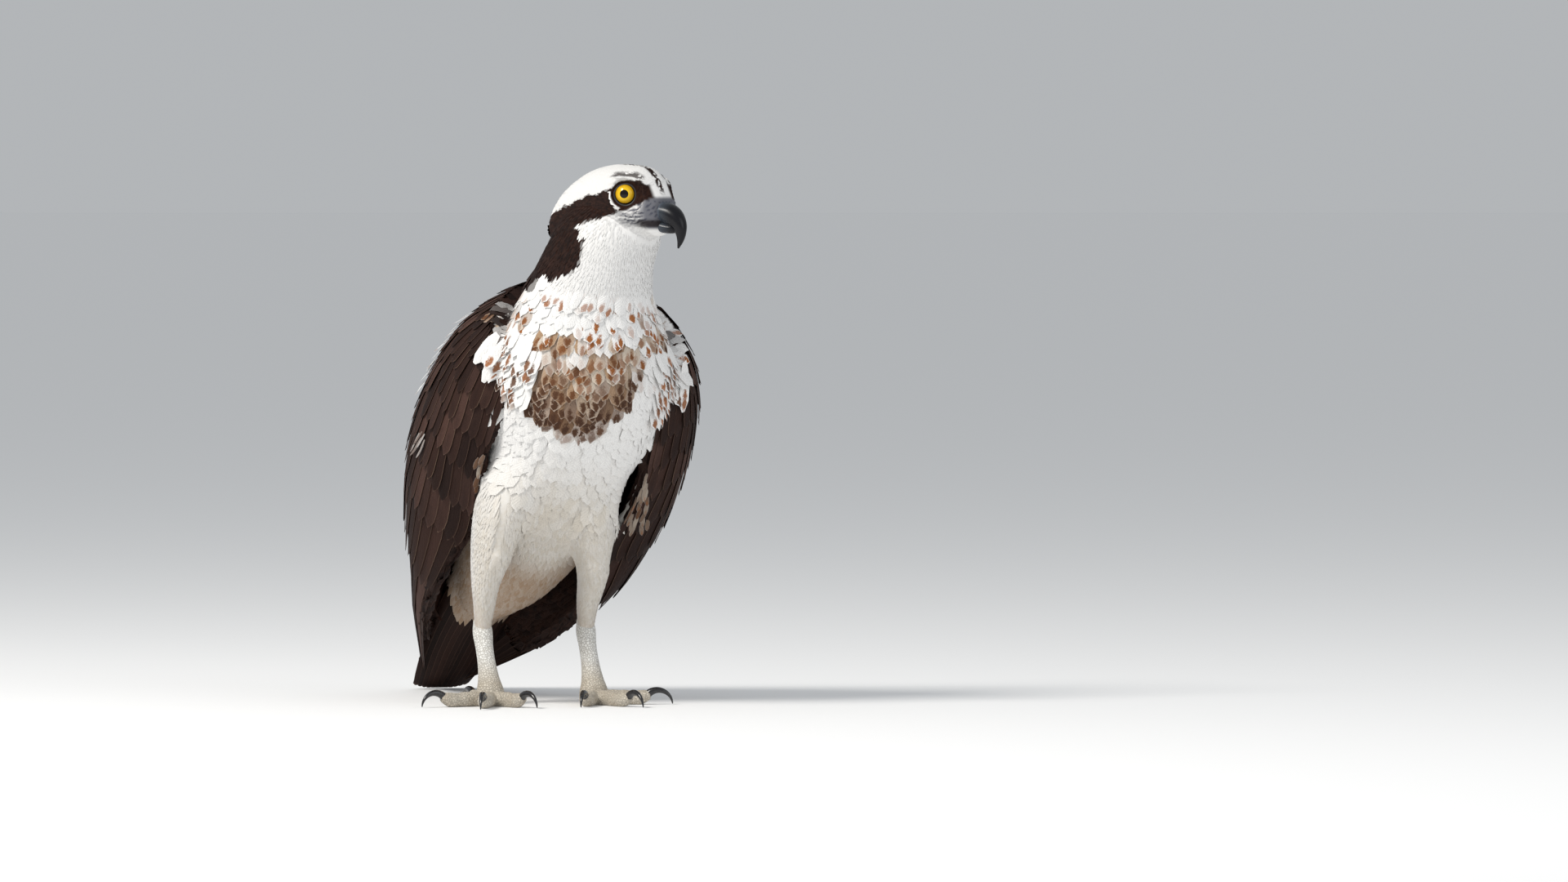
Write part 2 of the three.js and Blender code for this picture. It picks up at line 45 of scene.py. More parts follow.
# A row: y, z, half width, depth to the back, depth to the front, shift sideways.
trunkRows = [
    [236, 78, 23, 13, 24, 2],
    [206, 99, 34, 21, 40, 3],
    [170, 124, 45, 33, 56, 4],
    [126, 158, 55, 46, 69, 4],
    [82, 192, 60, 59, 71, 2],
    [40, 225, 64, 64, 68, 0],
    [6, 258, 68, 64, 66, 0],
    [-16, 290, 63, 56, 54, -4],
    [-30, 320, 51, 48, 41, -11],
    [-39, 348, 44, 43, 38, -11],
    [-46, 374, 40, 40, 36, -6.5],
    [-50, 398, 22, 22, 20, -2],
]
tailRows = [
    [170, 124, 41, 30, 50, 4],
    [192, 107, 36, 24, 43, 3],
    [214, 91, 33, 17, 36, 2],
    [238, 73, 31, 13, 27, 1],
    [262, 54, 29, 8, 17, 0],
    [286, 34, 28, 4, 8, 0],
    [306, 17, 26, 2, 2.5, 0],
    [330, 1.7, 22, 1.6, 1.6, 0],
]
wingStart = (-10, 280)
wingSlope = math.radians(38.9)
# A row: along the wing, then five outer guide points and one inner point, each as outward and up.
wingRows = [
    [0, 6, 62, 44, 61, 69, 40, 78, 9, 58, -16, 30, 20],
    [40, 6, 67, 64, 61, 95, 30, 94, -13, 61, -38, 30, 12],
    [95, 6, 65, 76, 55, 107, 15, 98, -36, 62, -56, 32, 0],
    [155, 6, 58, 74, 47, 104, 3, 96, -48, 54, -68, 32, -8],
    [215, 6, 48, 62, 35, 88, -7, 86, -53, 60, -70, 36, -14],
    [285, 6, 34, 41, 24, 60, -9, 67, -41, 56, -56, 33, -10],
    [360, 6, 20, 22, 13, 34, -5, 40, -21, 35, -30, 22, -4],
    [440, 4, 12, 7, 10, 10, 6, 11, 3, 9, 1, 7, 6],
]
headCentre = np.array([0.0, -52.0, 390.0])
headTurn = math.radians(36)
# A row: forward, up, half width, height above, height below.
headRows = [
    [-70, -20, 3, 3, 3],
    [-63, -16, 15, 15, 17],
    [-49, -8, 23, 23, 25],
    [-28, 0, 28, 27, 28],
    [-9, 3, 29.5, 28.5, 29],
    [8, 4, 29.5, 27.5, 29],
    [20, 3, 28.5, 27, 27.5],
    [29, 0, 25, 23, 26],
    [36, -4, 17.5, 15, 21],
    [42, -8, 10, 8, 11],
]
# A row: forward, up, outward, half width, half height.
browRows = [
    [0, 18, 21, 3, 2.4],
    [8, 18.5, 23.5, 4, 3.2],
    [17, 18.5, 24, 4.2, 3.2],
    [25, 16.5, 22, 4, 3],
    [31, 12, 17, 3.4, 2.6],
]
# A row: forward, up, half width, half height.
upperBillRows = [
    [26, -4, 10.5, 7.5],
    [35, -5.4, 10, 7.9],
    [42, -7, 9, 8.1],
    [48, -10.4, 7.5, 7.6],
    [52.3, -15.4, 5.8, 5.9],
    [53.8, -21.3, 4.2, 4.3],
    [53.3, -27.3, 2.5, 2.6],
    [51, -33.4, 0.5, 0.6],
]
lowerBillRows = [
    [25, -14, 9, 5.5],
    [33, -15.8, 8.6, 5.2],
    [41, -17.6, 7, 4.4],
    [47, -18.4, 5, 3.5],
    [50.6, -18.2, 2.2, 1.8],
]
eyeRadius = 9.2
eyePlace = (12.5, 15.2, 8.0)
eyeOpening = 7.6
lidTurn = math.radians(60)
legX = {"left": 59.0, "right": -23.0}
footY = 55.0
# A row: outward, y, z, half width, half depth.
thighRows = [
    [-20, 32, 216, 6, 10],
    [-15, 32, 190, 19, 29],
    [-9, 38, 164, 24, 35],
    [-5, 46, 142, 22, 33],
    [-1, 56, 120, 17.5, 28],
    [1, 68, 96, 13, 20],
    [0, 77, 76, 10.5, 14.5],
    [0, 82, 58, 8.6, 10.5],
    [0, 82, 46, 6, 7],
]
tarsusRows = [
    [0, 86, 66, 6, 6],
    [0, 82, 56, 7.6, 8.6],
    [0, 76, 44, 6.8, 7.4],
    [0, 68, 31, 7, 7.2],
    [0, 61, 19, 8.6, 8.6],
    [0, 57, 10, 11, 11],
    [0, 57, 1, 11, 11],
]
toes = [
    {"number": 1, "angle": 168, "reach": 34, "claw": 11.6},
    {"number": 2, "angle": -24, "reach": 42, "claw": 11.2},
    {"number": 3, "angle": 20, "reach": 50, "claw": 11.6},
    {"number": 4, "angle": 74, "reach": 44, "claw": 11.2},
]
coatDepth = 2.6
headCoatDepth = 1.8
wingCoatDepth = 3.2
view = {
    "azimuth": math.radians(-15),
    "elevation": math.radians(1.5),
    "distance": 8.0,
    "metresPerPixel": 0.00063,
    "stancePixel": (660, 862),  # where the stance's middle stands in a frame of 1920 by 1080
}
viewRight = np.array([math.cos(view["azimuth"]), math.sin(view["azimuth"]), 0])
viewBack = np.array([math.sin(view["azimuth"]), -math.cos(view["azimuth"]), 0])
stance = np.array([-0.030, -0.120, 0])
sides = {"left": 1, "right": -1}
tau = 2 * math.pi
rng = np.random.default_rng(41)


def unit(v):
    return v / np.maximum(np.linalg.norm(v, axis=-1, keepdims=True), 1e-12)


def smooth(x, low, high):
    f = np.clip((x - low) / (high - low), 0, 1)
    return f * f * (3 - 2 * f)


def fades(x, low, high):
    return 1 - smooth(x, low, high)


# A smooth curve through b and d, with a before them and e after.
def curve(a, b, d, e, f):
    return b + 0.5 * f * (d - a + f * (2 * a - 5 * b + 4 * d - e + f * (3 * (b - d) + e - a)))


def rowAt(rows, share):
    table = np.asarray(rows, float)
    x = np.clip(share, 0, 1) * (len(table) - 1)
    i = np.minimum(x.astype(int), len(table) - 2)
    near = (table[np.clip(i + k, 0, len(table) - 1)] for k in (-1, 0, 1, 2))
    return curve(*near, (x - i)[..., None])


# The row at a share, and how the rows change there
def rowAndRun(rows, share):
    here, ahead, behind = (rowAt(rows, share + d) for d in (0, 0.01, -0.01))
    return here, ahead - behind


def tilted(p, angle):
    x = p[..., 0] * math.cos(angle) + p[..., 2] * math.sin(angle)
    z = p[..., 2] * math.cos(angle) - p[..., 0] * math.sin(angle)
    return np.stack([x, p[..., 1], z], -1)


# The feet's frame is upright and the body's leans. Both end in the shared frame, in metres.
def standing(p):
    return (p - footprint) * 0.001


def leaned(p):
    return standing(tilted(p, lean))


def unleaned(p):
    return tilted(p * 1000 + footprint, -lean)


def fromHead(forward, left, up):
    x = left * math.cos(headTurn) + forward * math.sin(headTurn)
    y = left * math.sin(headTurn) - forward * math.cos(headTurn)
    return leaned(tilted(np.stack([x, y, up + 0 * x], -1), -lean) + headCentre)


headOrigin = fromHead(0.0, 0.0, 0.0)
headAxes = np.stack([unit(fromHead(*axis) - headOrigin) for axis in np.eye(3)])


def toHead(p):
    return (p - headOrigin) @ headAxes.T * 1000


# Each form gives a point for a share along it and a turn round it.
def spineAt(rows, share):
    here, change = rowAndRun(rows, share)
    run = unit(change[..., [5, 0, 1]])
    back = unit(np.stack([0 * run[..., 0], run[..., 2], -run[..., 1]], -1))
    return here[..., [5, 0, 1]], back, here


def trunkForm(share, turn, grow=0.0):
    at, back, here = spineAt(trunkRows, share)
    x, y = np.cos(turn), np.sin(turn)
    depth = np.where(y > 0, here[..., 3], here[..., 4]) + grow
    p = at + back * (y * depth)[..., None]
    p[..., 0] += x * (here[..., 2] + grow)
    return leaned(p)


def tailForm(share, turn, grow=0.0):
    at, back, here = spineAt(tailRows, share)
    x, y = np.cos(turn), np.sin(turn)
    depth = np.maximum(np.where(y > 0, here[..., 3], here[..., 4]) + grow, 0.5)
    p = at + back * (y * depth)[..., None]
    p[..., 0] += x * np.maximum(here[..., 2] + grow, 1)
    p[..., 2] += p[..., 0] * math.tan(lean) * share
    return leaned(p)


def skullForm(share, turn, grow=0.0):
    here = rowAt(headRows, share)
    x, y = np.cos(turn), np.sin(turn)
    height = np.where(y > 0, here[..., 3], here[..., 4]) + grow
    return fromHead(here[..., 0], x * (here[..., 2] + grow), here[..., 1] + y * height)


def browForm(side):
    def form(share, turn, grow=0.0):
        here = rowAt(browRows, share)
        outward = side * (here[..., 2] + np.cos(turn) * (here[..., 3] + grow))
        return fromHead(here[..., 0], outward, here[..., 1] + np.sin(turn) * (here[..., 4] + grow))

    return form


def billForm(rows):
    def form(share, turn, grow=0.0):
        here, change = rowAndRun(rows, share)
        run = unit(change[..., :2])
        height = np.sin(turn) * (here[..., 3] + grow)
        across = np.cos(turn) * (here[..., 2] + grow)
        return fromHead(here[..., 0] - run[..., 1] * height, across, here[..., 1] + run[..., 0] * height)

    return form


def limbForm(rows, name):
    def form(share, turn, grow=0.0):
        here, change = rowAndRun(rows, share)
        run = unit(change[..., 1:3])
        deep = np.sin(turn) * (here[..., 4] + grow)
        x = legX[name] + sides[name] * here[..., 0] + np.cos(turn) * (here[..., 3] + grow)
        y = here[..., 1] - run[..., 1] * deep
        z = here[..., 2] + run[..., 0] * deep
        return standing(np.stack([x, y, z], -1))

    return form


def wingPlace(side, along, outward, up):
    run = np.array([math.cos(wingSlope), -math.sin(wingSlope)])
    rise = np.array([-run[1], run[0]])
    y = wingStart[0] + run[0] * along + rise[0] * up
    z = wingStart[1] + run[1] * along + rise[1] * up
    return leaned(np.stack([side * outward, y, z], -1))


def wingPoint(side, along, across):
    row = rowAt(wingRows, along)
    guides = row[..., 1:11].reshape(row.shape[:-1] + (5, 2))
    x = np.clip(across, 0, 1) * 4
    i = np.minimum(x.astype(int), 3)
    guide = lambda k: np.take_along_axis(guides, np.clip(i + k, 0, 4)[..., None, None], -2)[..., 0, :]
    g = curve(*(guide(k) for k in (-1, 0, 1, 2)), (x - i)[..., None])
    return wingPlace(side, row[..., 0], g[..., 0], g[..., 1])


def wingOut(side, along, across, step=0.01):
    ahead, behind = np.minimum(along + step, 1), np.maximum(along - step, 0)
    higher, lower = np.minimum(across + step, 1), np.maximum(across - step, 0)
    run = wingPoint(side, ahead, across) - wingPoint(side, behind, across)
    over = wingPoint(side, along, higher) - wingPoint(side, along, lower)
    return unit(np.cross(run, over)) * -side


def wingForm(side):
    def form(share, turn, grow=0.0):
        half = turn / math.pi
        across = np.where(half <= 1, half, 2 - half)
        outer = wingPoint(side, share, across)
        outer = outer + wingOut(side, share, across) * grow * 0.001
        row = rowAt(wingRows, share)
        inside = wingPlace(side, row[..., 0], row[..., 11], row[..., 12])
        deep = np.interp(share, [0, 0.4, 0.6, 1], [0.5, 0.42, 0.4, 0.5])
        middleness = np.sin(np.clip(half - 1, 0, 1) * math.pi) ** 0.5
        inner = outer + (inside - outer) * (deep * middleness)[..., None]
        return np.where((half <= 1)[..., None], outer, inner)

    return form


def newObject(name, mesh, material=None, replaced=()):
    made = bpy.data.objects.new(name, mesh)
    bpy.context.scene.collection.objects.link(made)
    if material:
        mesh.materials.append(material)
    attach(made, "root")
    if replaced:
        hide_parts(*replaced)
    return made


# A sphere from bmesh whose points are laid on a form: the poles are the form's two ends.
def ballInto(made, form, around, rings, grow=0.0):
    ball = bmesh.ops.create_uvsphere(made, u_segments=around, v_segments=rings, radius=1)["verts"]
    at = np.array([v.co[:] for v in ball])
    share = np.arccos(np.clip(at[:, 2], -1, 1)) / math.pi
    turn = np.arctan2(at[:, 1], at[:, 0]) % tau
    for vert, place in zip(ball, form(share, turn, grow)):
        vert.co = place
    return ball


def meshOf(made, name):
    bmesh.ops.recalc_face_normals(made, faces=made.faces[:])
    mesh = bpy.data.meshes.new(name)
    made.to_mesh(mesh)
    made.free()
    mesh.polygons.foreach_set("use_smooth", [True] * len(mesh.polygons))
    return mesh


def coordinates(mesh):
    at = np.empty(len(mesh.vertices) * 3, np.float32)
    mesh.vertices.foreach_get("co", at)
    return at.reshape(-1, 3).astype(float)


# Colours of the points, with one more number in the fourth place
def paintPoints(mesh, name, colour, extra=1.0):
    full = np.concatenate([colour, np.broadcast_to(extra, (len(colour),))[:, None]], 1)
    layer = mesh.color_attributes.new(name, "FLOAT_COLOR", "POINT")
    layer.data.foreach_set("color", np.ascontiguousarray(full, np.float32).ravel())


def remeshed(mesh, voxel, name, rounds):
    holder = bpy.data.objects.new("holder", mesh)
    bpy.context.scene.collection.objects.link(holder)
    change = holder.modifiers.new("remesh", "REMESH")
    change.mode = "VOXEL"
    change.voxel_size = voxel
    soften = holder.modifiers.new("soften", "SMOOTH")
    soften.iterations = rounds
    done = bpy.data.meshes.new_from_object(holder.evaluated_get(bpy.context.evaluated_depsgraph_get()))
    done.name = name
    bpy.data.objects.remove(holder)
    done.polygons.foreach_set("use_smooth", [True] * len(done.polygons))
    return done


def relax(mesh, verts, factor, rounds=1):
    axes = {f"use_axis_{axis}": True for axis in "xyz"}
    for _ in range(rounds):
        bmesh.ops.smooth_vert(mesh, verts=verts, factor=factor, **axes)


# How far points lie from an eye's middle, along its look and out from it, in mm
def fromEye(points, middle, look):
    off = (points - middle) * 1000
    high = off @ look
    return off, high, np.linalg.norm(off - high[:, None] * look, axis=1)


# The groove between the thighs, for points in the body's own frame
def inGroove(q, top, half):
    off = np.abs(q[:, 0] + 0.09 * (q[:, 2] - 150) - 8)
    return (off < half) & (q[:, 1] < 72) & (q[:, 2] > 112) & (q[:, 2] < top)


# A form that ends early: the rest is left to its feathers.
def upTo(form, end):
    return lambda share, turn, grow=0.0: form(share * end, turn, grow)


# One skin joins the forms of flesh: each form, how far it grows, and its points around and along.
skinSizes = {"voxel": 0.0024, "rounds": 3, "fineReach": 0.048, "faceReach": 0.05, "grooveRounds": 130}
forms = [
    (trunkForm, -coatDepth, 60, 72),
    (upTo(skullForm, 0.95), -headCoatDepth, 48, 40),
    (upTo(tailForm, 0.7), -1.6, 40, 40),
]
for sideName, side in sides.items():
    forms.append((browForm(side), -0.6, 16, 16))
    forms.append((limbForm(thighRows, sideName), -coatDepth, 40, 40))
    forms.append((upTo(wingForm(side), 0.84), -wingCoatDepth, 72, 60))
flesh = bmesh.new()
for form, grow, around, rings in forms:
    ballInto(flesh, form, around, rings, grow)
skin = remeshed(meshOf(flesh, "flesh"), skinSizes["voxel"], "skin", skinSizes["rounds"])

# The head's part of the skin is made finer, the groove is softened, and the skin sinks round the eyes.
eyes = {}
for sideName, side in sides.items():
    middle = fromHead(eyePlace[0], side * eyePlace[1], eyePlace[2])
    look = unit(headAxes[0] * math.cos(lidTurn) + headAxes[1] * side * math.sin(lidTurn))
    eyes[sideName] = (middle, look)
fine = bmesh.new()
fine.from_mesh(skin)
centre = Vector(headOrigin)
firsts = ((e, e.verts[0].co) for e in fine.edges)
nearHead = [e for e, at in firsts if (at - centre).length < skinSizes["fineReach"] and at.z > 0.35]
bmesh.ops.subdivide_edges(fine, edges=nearHead, cuts=1, use_grid_fill=True)
face = [v for v in fine.verts if (v.co - centre).length < skinSizes["faceReach"]]
relax(fine, face, 0.5)
soft = inGroove(unleaned(np.array([v.co[:] for v in fine.verts])), 222, 58)
fine.verts.ensure_lookup_table()
relax(fine, [fine.verts[i] for i in np.nonzero(soft)[0]], 0.5, skinSizes["grooveRounds"])
eyeDepth = math.sqrt(eyeRadius**2 - eyeOpening**2)
for middle, look in eyes.values():
    off, high, wide = fromEye(np.array([v.co[:] for v in face]), middle, look)
    limit = eyeDepth + 0.4 + np.maximum(wide - eyeOpening - 1, 0) * 0.75 - 2.2 * (wide < eyeOpening)
    for k in np.nonzero((high > 0) & (wide < 17) & (high > limit))[0]:
        face[k].co = Vector(middle + (off[k] - look * (high[k] - limit[k])) * 0.001)
relax(fine, face, 0.4)
fine.to_mesh(skin)
fine.free()
skin.polygons.foreach_set("use_smooth", [True] * len(skin.polygons))
skinAt = coordinates(skin)
corners = [list(p.vertices) for p in skin.polygons]
surface = BVHTree.FromPolygons([tuple(v) for v in skinAt], corners)
print("skin", len(skin.vertices), "points")


def nearest(points):
    found = [surface.find_nearest(p) for p in points]
    at = np.array([f[0][:] for f in found])
    out = np.array([f[1][:] for f in found])
    return at, out, np.array([f[3] for f in found])


# Colours of the coat
paints = {
    "white": (0.83, 0.82, 0.805),
    # warm grey: for some marks, and as painted shade low on the belly and under the body
    "warm": (0.62, 0.56, 0.47),
    "buff": (0.52, 0.40, 0.27),
    "tan": (0.40, 0.265, 0.165),
    "rufous": (0.36, 0.125, 0.035),
    "brown": (0.10, 0.045, 0.022),
    "dark": (0.0095, 0.0040, 0.0032),
    "sepia": (0.030, 0.0125, 0.0085),
    "edge": (0.12, 0.068, 0.048),
    # painted light: a lighter brown for the lit parts of the wings
    "lit": (0.085, 0.043, 0.033),
    "lead": (0.075, 0.078, 0.10),
}
paints = {name: np.array(value) for name, value in paints.items()}
trunkHeights = [row[1] for row in trunkRows]


def plain(name, count):
    return np.tile(paints[name], (count, 1))


def blend(a, b, f):
    f = np.asarray(f)[..., None]
    return a * (1 - f) + b * f


# Uneven numbers from 0 to 1 that change slowly over the surface.
def uneven(p, size, seed=0.0):
    q = p * 1000 / size + seed
    waves = np.sin(q[:, 0] * 1.7 + q[:, 1] * 2.3 + 2 * np.sin(q[:, 2] * 1.1))
    waves = waves + np.sin(q[:, 2] * 2.9 - q[:, 0] * 1.3 + 1.7 * np.sin(q[:, 1] * 1.9 + seed))
    return 0.5 + 0.25 * waves


# The hood's upper and lower edges on the head, as heights at places forward, and on the neck the middle
# of its turn and its half width in degrees, at heights.
hoodLines = {
    "top": (
        [-70, -54, -33, -22, -15, 0, 6, 14, 22, 28, 32, 36, 39],
        [-12, -5, 0.8, 4.2, 6.7, 10, 12.4, 17.5, 18.5, 17.5, 14.5, 9, 4],
    ),
    "low": (
        [-27, -25, -23, -18, -11.5, -2, 7, 12, 20, 27, 33, 37, 39],
        [-70, -34, -24, -17.2, -14, -11.5, -8.5, -6, -2.5, 0, 3, 5, 4],
    ),
    "turned": ([300, 315, 322, 335], [90, 106, 114, 126]),
    "half": ([285, 308, 315, 322, 332, 338, 348, 366], [52, 56, 62, 88, 103, 110, 108, 104]),
}


# How dark the mask through the eye, the hind neck and the crown's streaks are, at a place
def hoodAt(p):
    h = toHead(p)
    f, l, u = h[:, 0], np.abs(h[:, 1]), h[:, 2]
    ragged = (uneven(p, 3.1) - 0.5) * 2.2
    above = smooth(np.interp(f, *hoodLines["top"]) - u + ragged, -0.5, 1.0)
    below = smooth(u - np.interp(f, *hoodLines["low"]) + ragged, -0.5, 1.0)
    head = np.where(f < -30, above, above * below * smooth(l, 8, 12 - 0.1 * np.minimum(f, 0)))
    streak = fades(l + ragged * 0.8, 2.0, 4.0) * smooth(f, -6, 6) * fades(f, 34, 38) * (u > 0)
    second = fades(np.abs(u - 22.5 + 0.25 * np.maximum(f - 20, 0)) + ragged * 0.7, 0.8, 2.2)
    second = second * smooth(f, 2, 8) * fades(f, 30, 34) * smooth(l, 9, 13)
    crown = np.maximum(streak, second * 0.85) * (uneven(p, 2.0, 3.0) > 0.3)
    q = unleaned(p)
    up = q[:, 2]
    at = rowAt(trunkRows, np.interp(up, trunkHeights, np.arange(12) / 11))
    turned, half = (np.radians(np.interp(up, *hoodLines[key])) for key in ("turned", "half"))
    turn = np.arctan2(q[:, 1] - at[:, 0], q[:, 0] - at[:, 5])
    off = np.abs((turn - turned + math.pi) % tau - math.pi)
    neck = smooth(half - off + ragged * 0.03, -0.03, 0.05)
    onHead = (up > 366) | ((h[:, 0] > -12) & (u > -26))
    behind = head * (f < -25.5) * smooth(up, 338, 346)
    return np.where(onHead, np.maximum(head, crown), np.maximum(neck, behind))


# The hood with a dark ring round each eye and a white arc behind it
def hoodRound(p):
    hood = hoodAt(p)
    for middle, look in eyes.values():
        off, high, wide = fromEye(p, middle, look)
        hood = np.maximum(hood, (high > 0) * fades(wide, 9.6, 11))
        arc = (high > -3) & (off @ headAxes[0] < 0.5) & (off @ headAxes[2] < 1.5)
        hood = hood * (1 - arc * fades(np.abs(wide - 12.0), 0.9, 1.4))
    return hood


# How grey the lores and how dark the gape are
def faceAt(p):
    f, _, u = toHead(p).T
    lores = smooth(f, 3, 25) * smooth(u, -19, -12) * fades(u, 2, 6) * (uneven(p, 1.6, 2.0) * 1.3)
    lores = np.maximum(lores, smooth(f, 27, 34) * smooth(u, -20, -17) * fades(u, 4, 7) * 0.9)
    return np.clip(lores, 0, 1), smooth(f, 22, 31) * fades(np.abs(u + 14.5), 1.5, 4.0) * 0.85


# Marks of the head, trunk and thighs by region, with painted shade low on the belly and under the body:
# ground, mark and rim colours, spot and fringe strengths
def regionMarks(p, out):
    count = len(p)
    x, y, z = unleaned(p).T
    dice, dice2 = rng.random(count), rng.random(count)
    front = smooth(-out[:, 1], -0.2, 0.3)
    side = np.abs(x + 19)
    level = 210 + 0.014 * side**2 + 7 * (uneven(p, 14) - 0.5)
    scatter = rng.random(count) - 0.5
    fade = smooth(side + 9 * scatter, 42, 58 - 22 * smooth(z, 250, 300))
    band = front * smooth(z, level - 2, level + 5) * fades(z + 62 * scatter, 266, 306) * (1 - fade)
    low = band * fades(z, level + 6, level + 40)
    upper = front * smooth(z, 250, 275) * fades(z, 306, 322) * smooth(uneven(p, 16), 0.28, 0.42)
    # Painted shade: feathers low on the belly's front, and all feathers facing downward, are tinted warm grey
    # as shade under the body.
    shade = front * fades(z, 120, 205) + smooth(-out[:, 2], 0.1, 0.6) * fades(z, 110, 200)
    vent = smooth(y, 60, 105) * (out[:, 2] < 0.4)
    lores, gape = faceAt(p)
    ground = plain("white", count)
    for name, power in (
        ("tan", np.clip(band * (0.75 + 0.35 * dice), 0, 1)),
        ("brown", np.clip(low * (0.35 + 0.45 * dice) + 0.4 * band * (dice2 > 0.7), 0, 1)),
        ("warm", np.clip(band * (1 - low) * (dice2 < 0.25) * 0.6, 0, 1)),
        ("warm", np.clip(shade, 0, 1) * (0.45 + 0.35 * dice)),
        ("tan", vent * (0.6 + 0.35 * dice2)),
        ("lead", lores),
        ("dark", gape),
    ):
        ground = blend(ground, paints[name], power)
    edge = blend(plain("white", count), paints["tan"], band * (0.25 + 0.35 * dice2))
    mark = blend(paints["rufous"], paints["brown"], np.clip(0.15 + band * (0.3 + 0.5 * dice2) + low, 0, 1))
    mark = blend(mark, paints["sepia"], low * 0.6)
    spot = np.clip(band * (0.5 + 0.6 * dice) + low + upper * (dice > 0.3), 0, 1)
    fringe = np.clip(0.12 + band * (0.05 + 0.35 * dice2 * dice), 0, 1)
    mantle = smooth(out[:, 1] + 0.6 * out[:, 2], 0.15, 0.5) * fades(z, 296, 312)
    mantle = mantle * np.maximum(smooth(z, 196, 220), smooth(y, 120, 150))
    dark, hood = blend(paints["dark"], paints["sepia"], dice), hoodRound(p)
    for cover in (hood, mantle):
        ground, edge = blend(ground, dark, cover), blend(edge, paints["edge"], cover)
    mark = blend(mark, paints["dark"], np.maximum(hood, mantle))
    return ground, mark, edge, spot * (1 - hood) * (1 - mantle), fringe


def darkMarks(p, out):
    count = len(p)
    ground = blend(paints["dark"], paints["sepia"], rng.random(count))
    return ground, plain("dark", count), plain("edge", count), np.zeros(count), 0.1 + 0.2 * rng.random(count)


featherCount = 0


# Small squares of the bake map, one for each feather, in the order of their roots
def bakeCells(roots, wide):
    count = len(roots)
    rows = int(math.ceil(math.sqrt(count)))
    order = np.argsort(roots[:, 1], kind="stable")
    cell = np.empty((count, 2))
    for r in range(rows):
        members = order[r * count // rows : (r + 1) * count // rows]
        members = members[np.argsort(roots[members, 0], kind="stable")]
        cell[members, 0] = (np.arange(len(members)) + 0.5) / max(len(members), 1)
        cell[members, 1] = (r + 0.5) / rows
    size = min(wide, 0.8 / rows)
    return cell * 0.98 + 0.01, size


# A coat piece from a grid of points for each feather, joined into one mesh
def coat(name, grid, unwrap, marks, material, patch=0.003):
    global featherCount
    count, rows, across = grid.shape[:3]
    corner = (np.arange(rows - 1)[:, None] * across + np.arange(across - 1)).reshape(-1, 1)
    faces = corner + np.array([0, 1, across + 1, across])
    each = rows * across
    loops = (faces[None] + (np.arange(count) * each)[:, None, None]).reshape(-1)
    quads = len(loops) // 4
    mesh = bpy.data.meshes.new(name)
    mesh.vertices.add(count * each)
    mesh.vertices.foreach_set("co", grid.astype(np.float32).ravel())
    mesh.loops.add(len(loops))
    mesh.loops.foreach_set("vertex_index", loops.astype(np.int32))
    mesh.polygons.add(quads)
    mesh.polygons.foreach_set("loop_start", np.arange(0, len(loops), 4, dtype=np.int32))
    mesh.polygons.foreach_set("loop_total", np.full(quads, 4, dtype=np.int32))
    mesh.polygons.foreach_set("use_smooth", np.ones(quads, dtype=bool))
    u, v = np.meshgrid(np.linspace(0, 1, across), np.linspace(0, 1, rows))
    local = np.stack([u, v], -1).reshape(-1, 2)[faces.reshape(-1)][None]
    cell, size = bakeCells(unwrap, patch)
    squares = cell[:, None] + (local - 0.5) * size
    for layerName, place in (("Vane", local.repeat(count, 0)), ("OFBake", squares)):
        layer = mesh.uv_layers.new(name=layerName)
        layer.data.foreach_set("uv", place.astype(np.float32).ravel())
    ground, mark, edge, spot, fringe = marks
    for key, colour, extra in (("ground", ground, spot), ("mark", mark, fringe), ("rim", edge, fringe)):
        paintPoints(mesh, key, colour.repeat(each, 0), np.broadcast_to(extra, (count,)).repeat(each))
    mesh.update()
    featherCount += count
    print("coat", name, count, "feathers", 2 * quads, "triangles")
    assert 2 * quads < 200000, name
    return newObject(name, mesh, material)


# Places in offset rows over a form, from its far end to its near end.
def quincunx(form, grow, low, high, spacing, turns=(0, tau)):
    shares, turnsOut = [], []
    share, offset = low, 0.0
    while share < high:
        ring = np.linspace(turns[0], turns[1], 121)
        line = form(np.full(121, share), ring, grow)
        ahead = form(np.full(121, share + 0.004), ring, grow)
        step = np.linalg.norm(ahead - line, axis=1).mean() * 1000 / 0.004
        gaps = np.linalg.norm(np.diff(line, axis=0), axis=1) * 1000
        apart = spacing(share, (ring[1:] + ring[:-1]) / 2)
        total = np.concatenate([[0], np.cumsum(gaps / apart)])
        count = int(total[-1])
        if count > 0:
            marks = (np.arange(count) + offset + 0.25) * total[-1] / count
            turn = np.interp(marks % total[-1], total, ring)
            shares.append(np.full(count, share))
            turnsOut.append(turn)
        offset = 0.5 - offset
        share += float(np.mean(apart)) * 0.87 / step
    return np.concatenate(shares), np.concatenate(turnsOut)


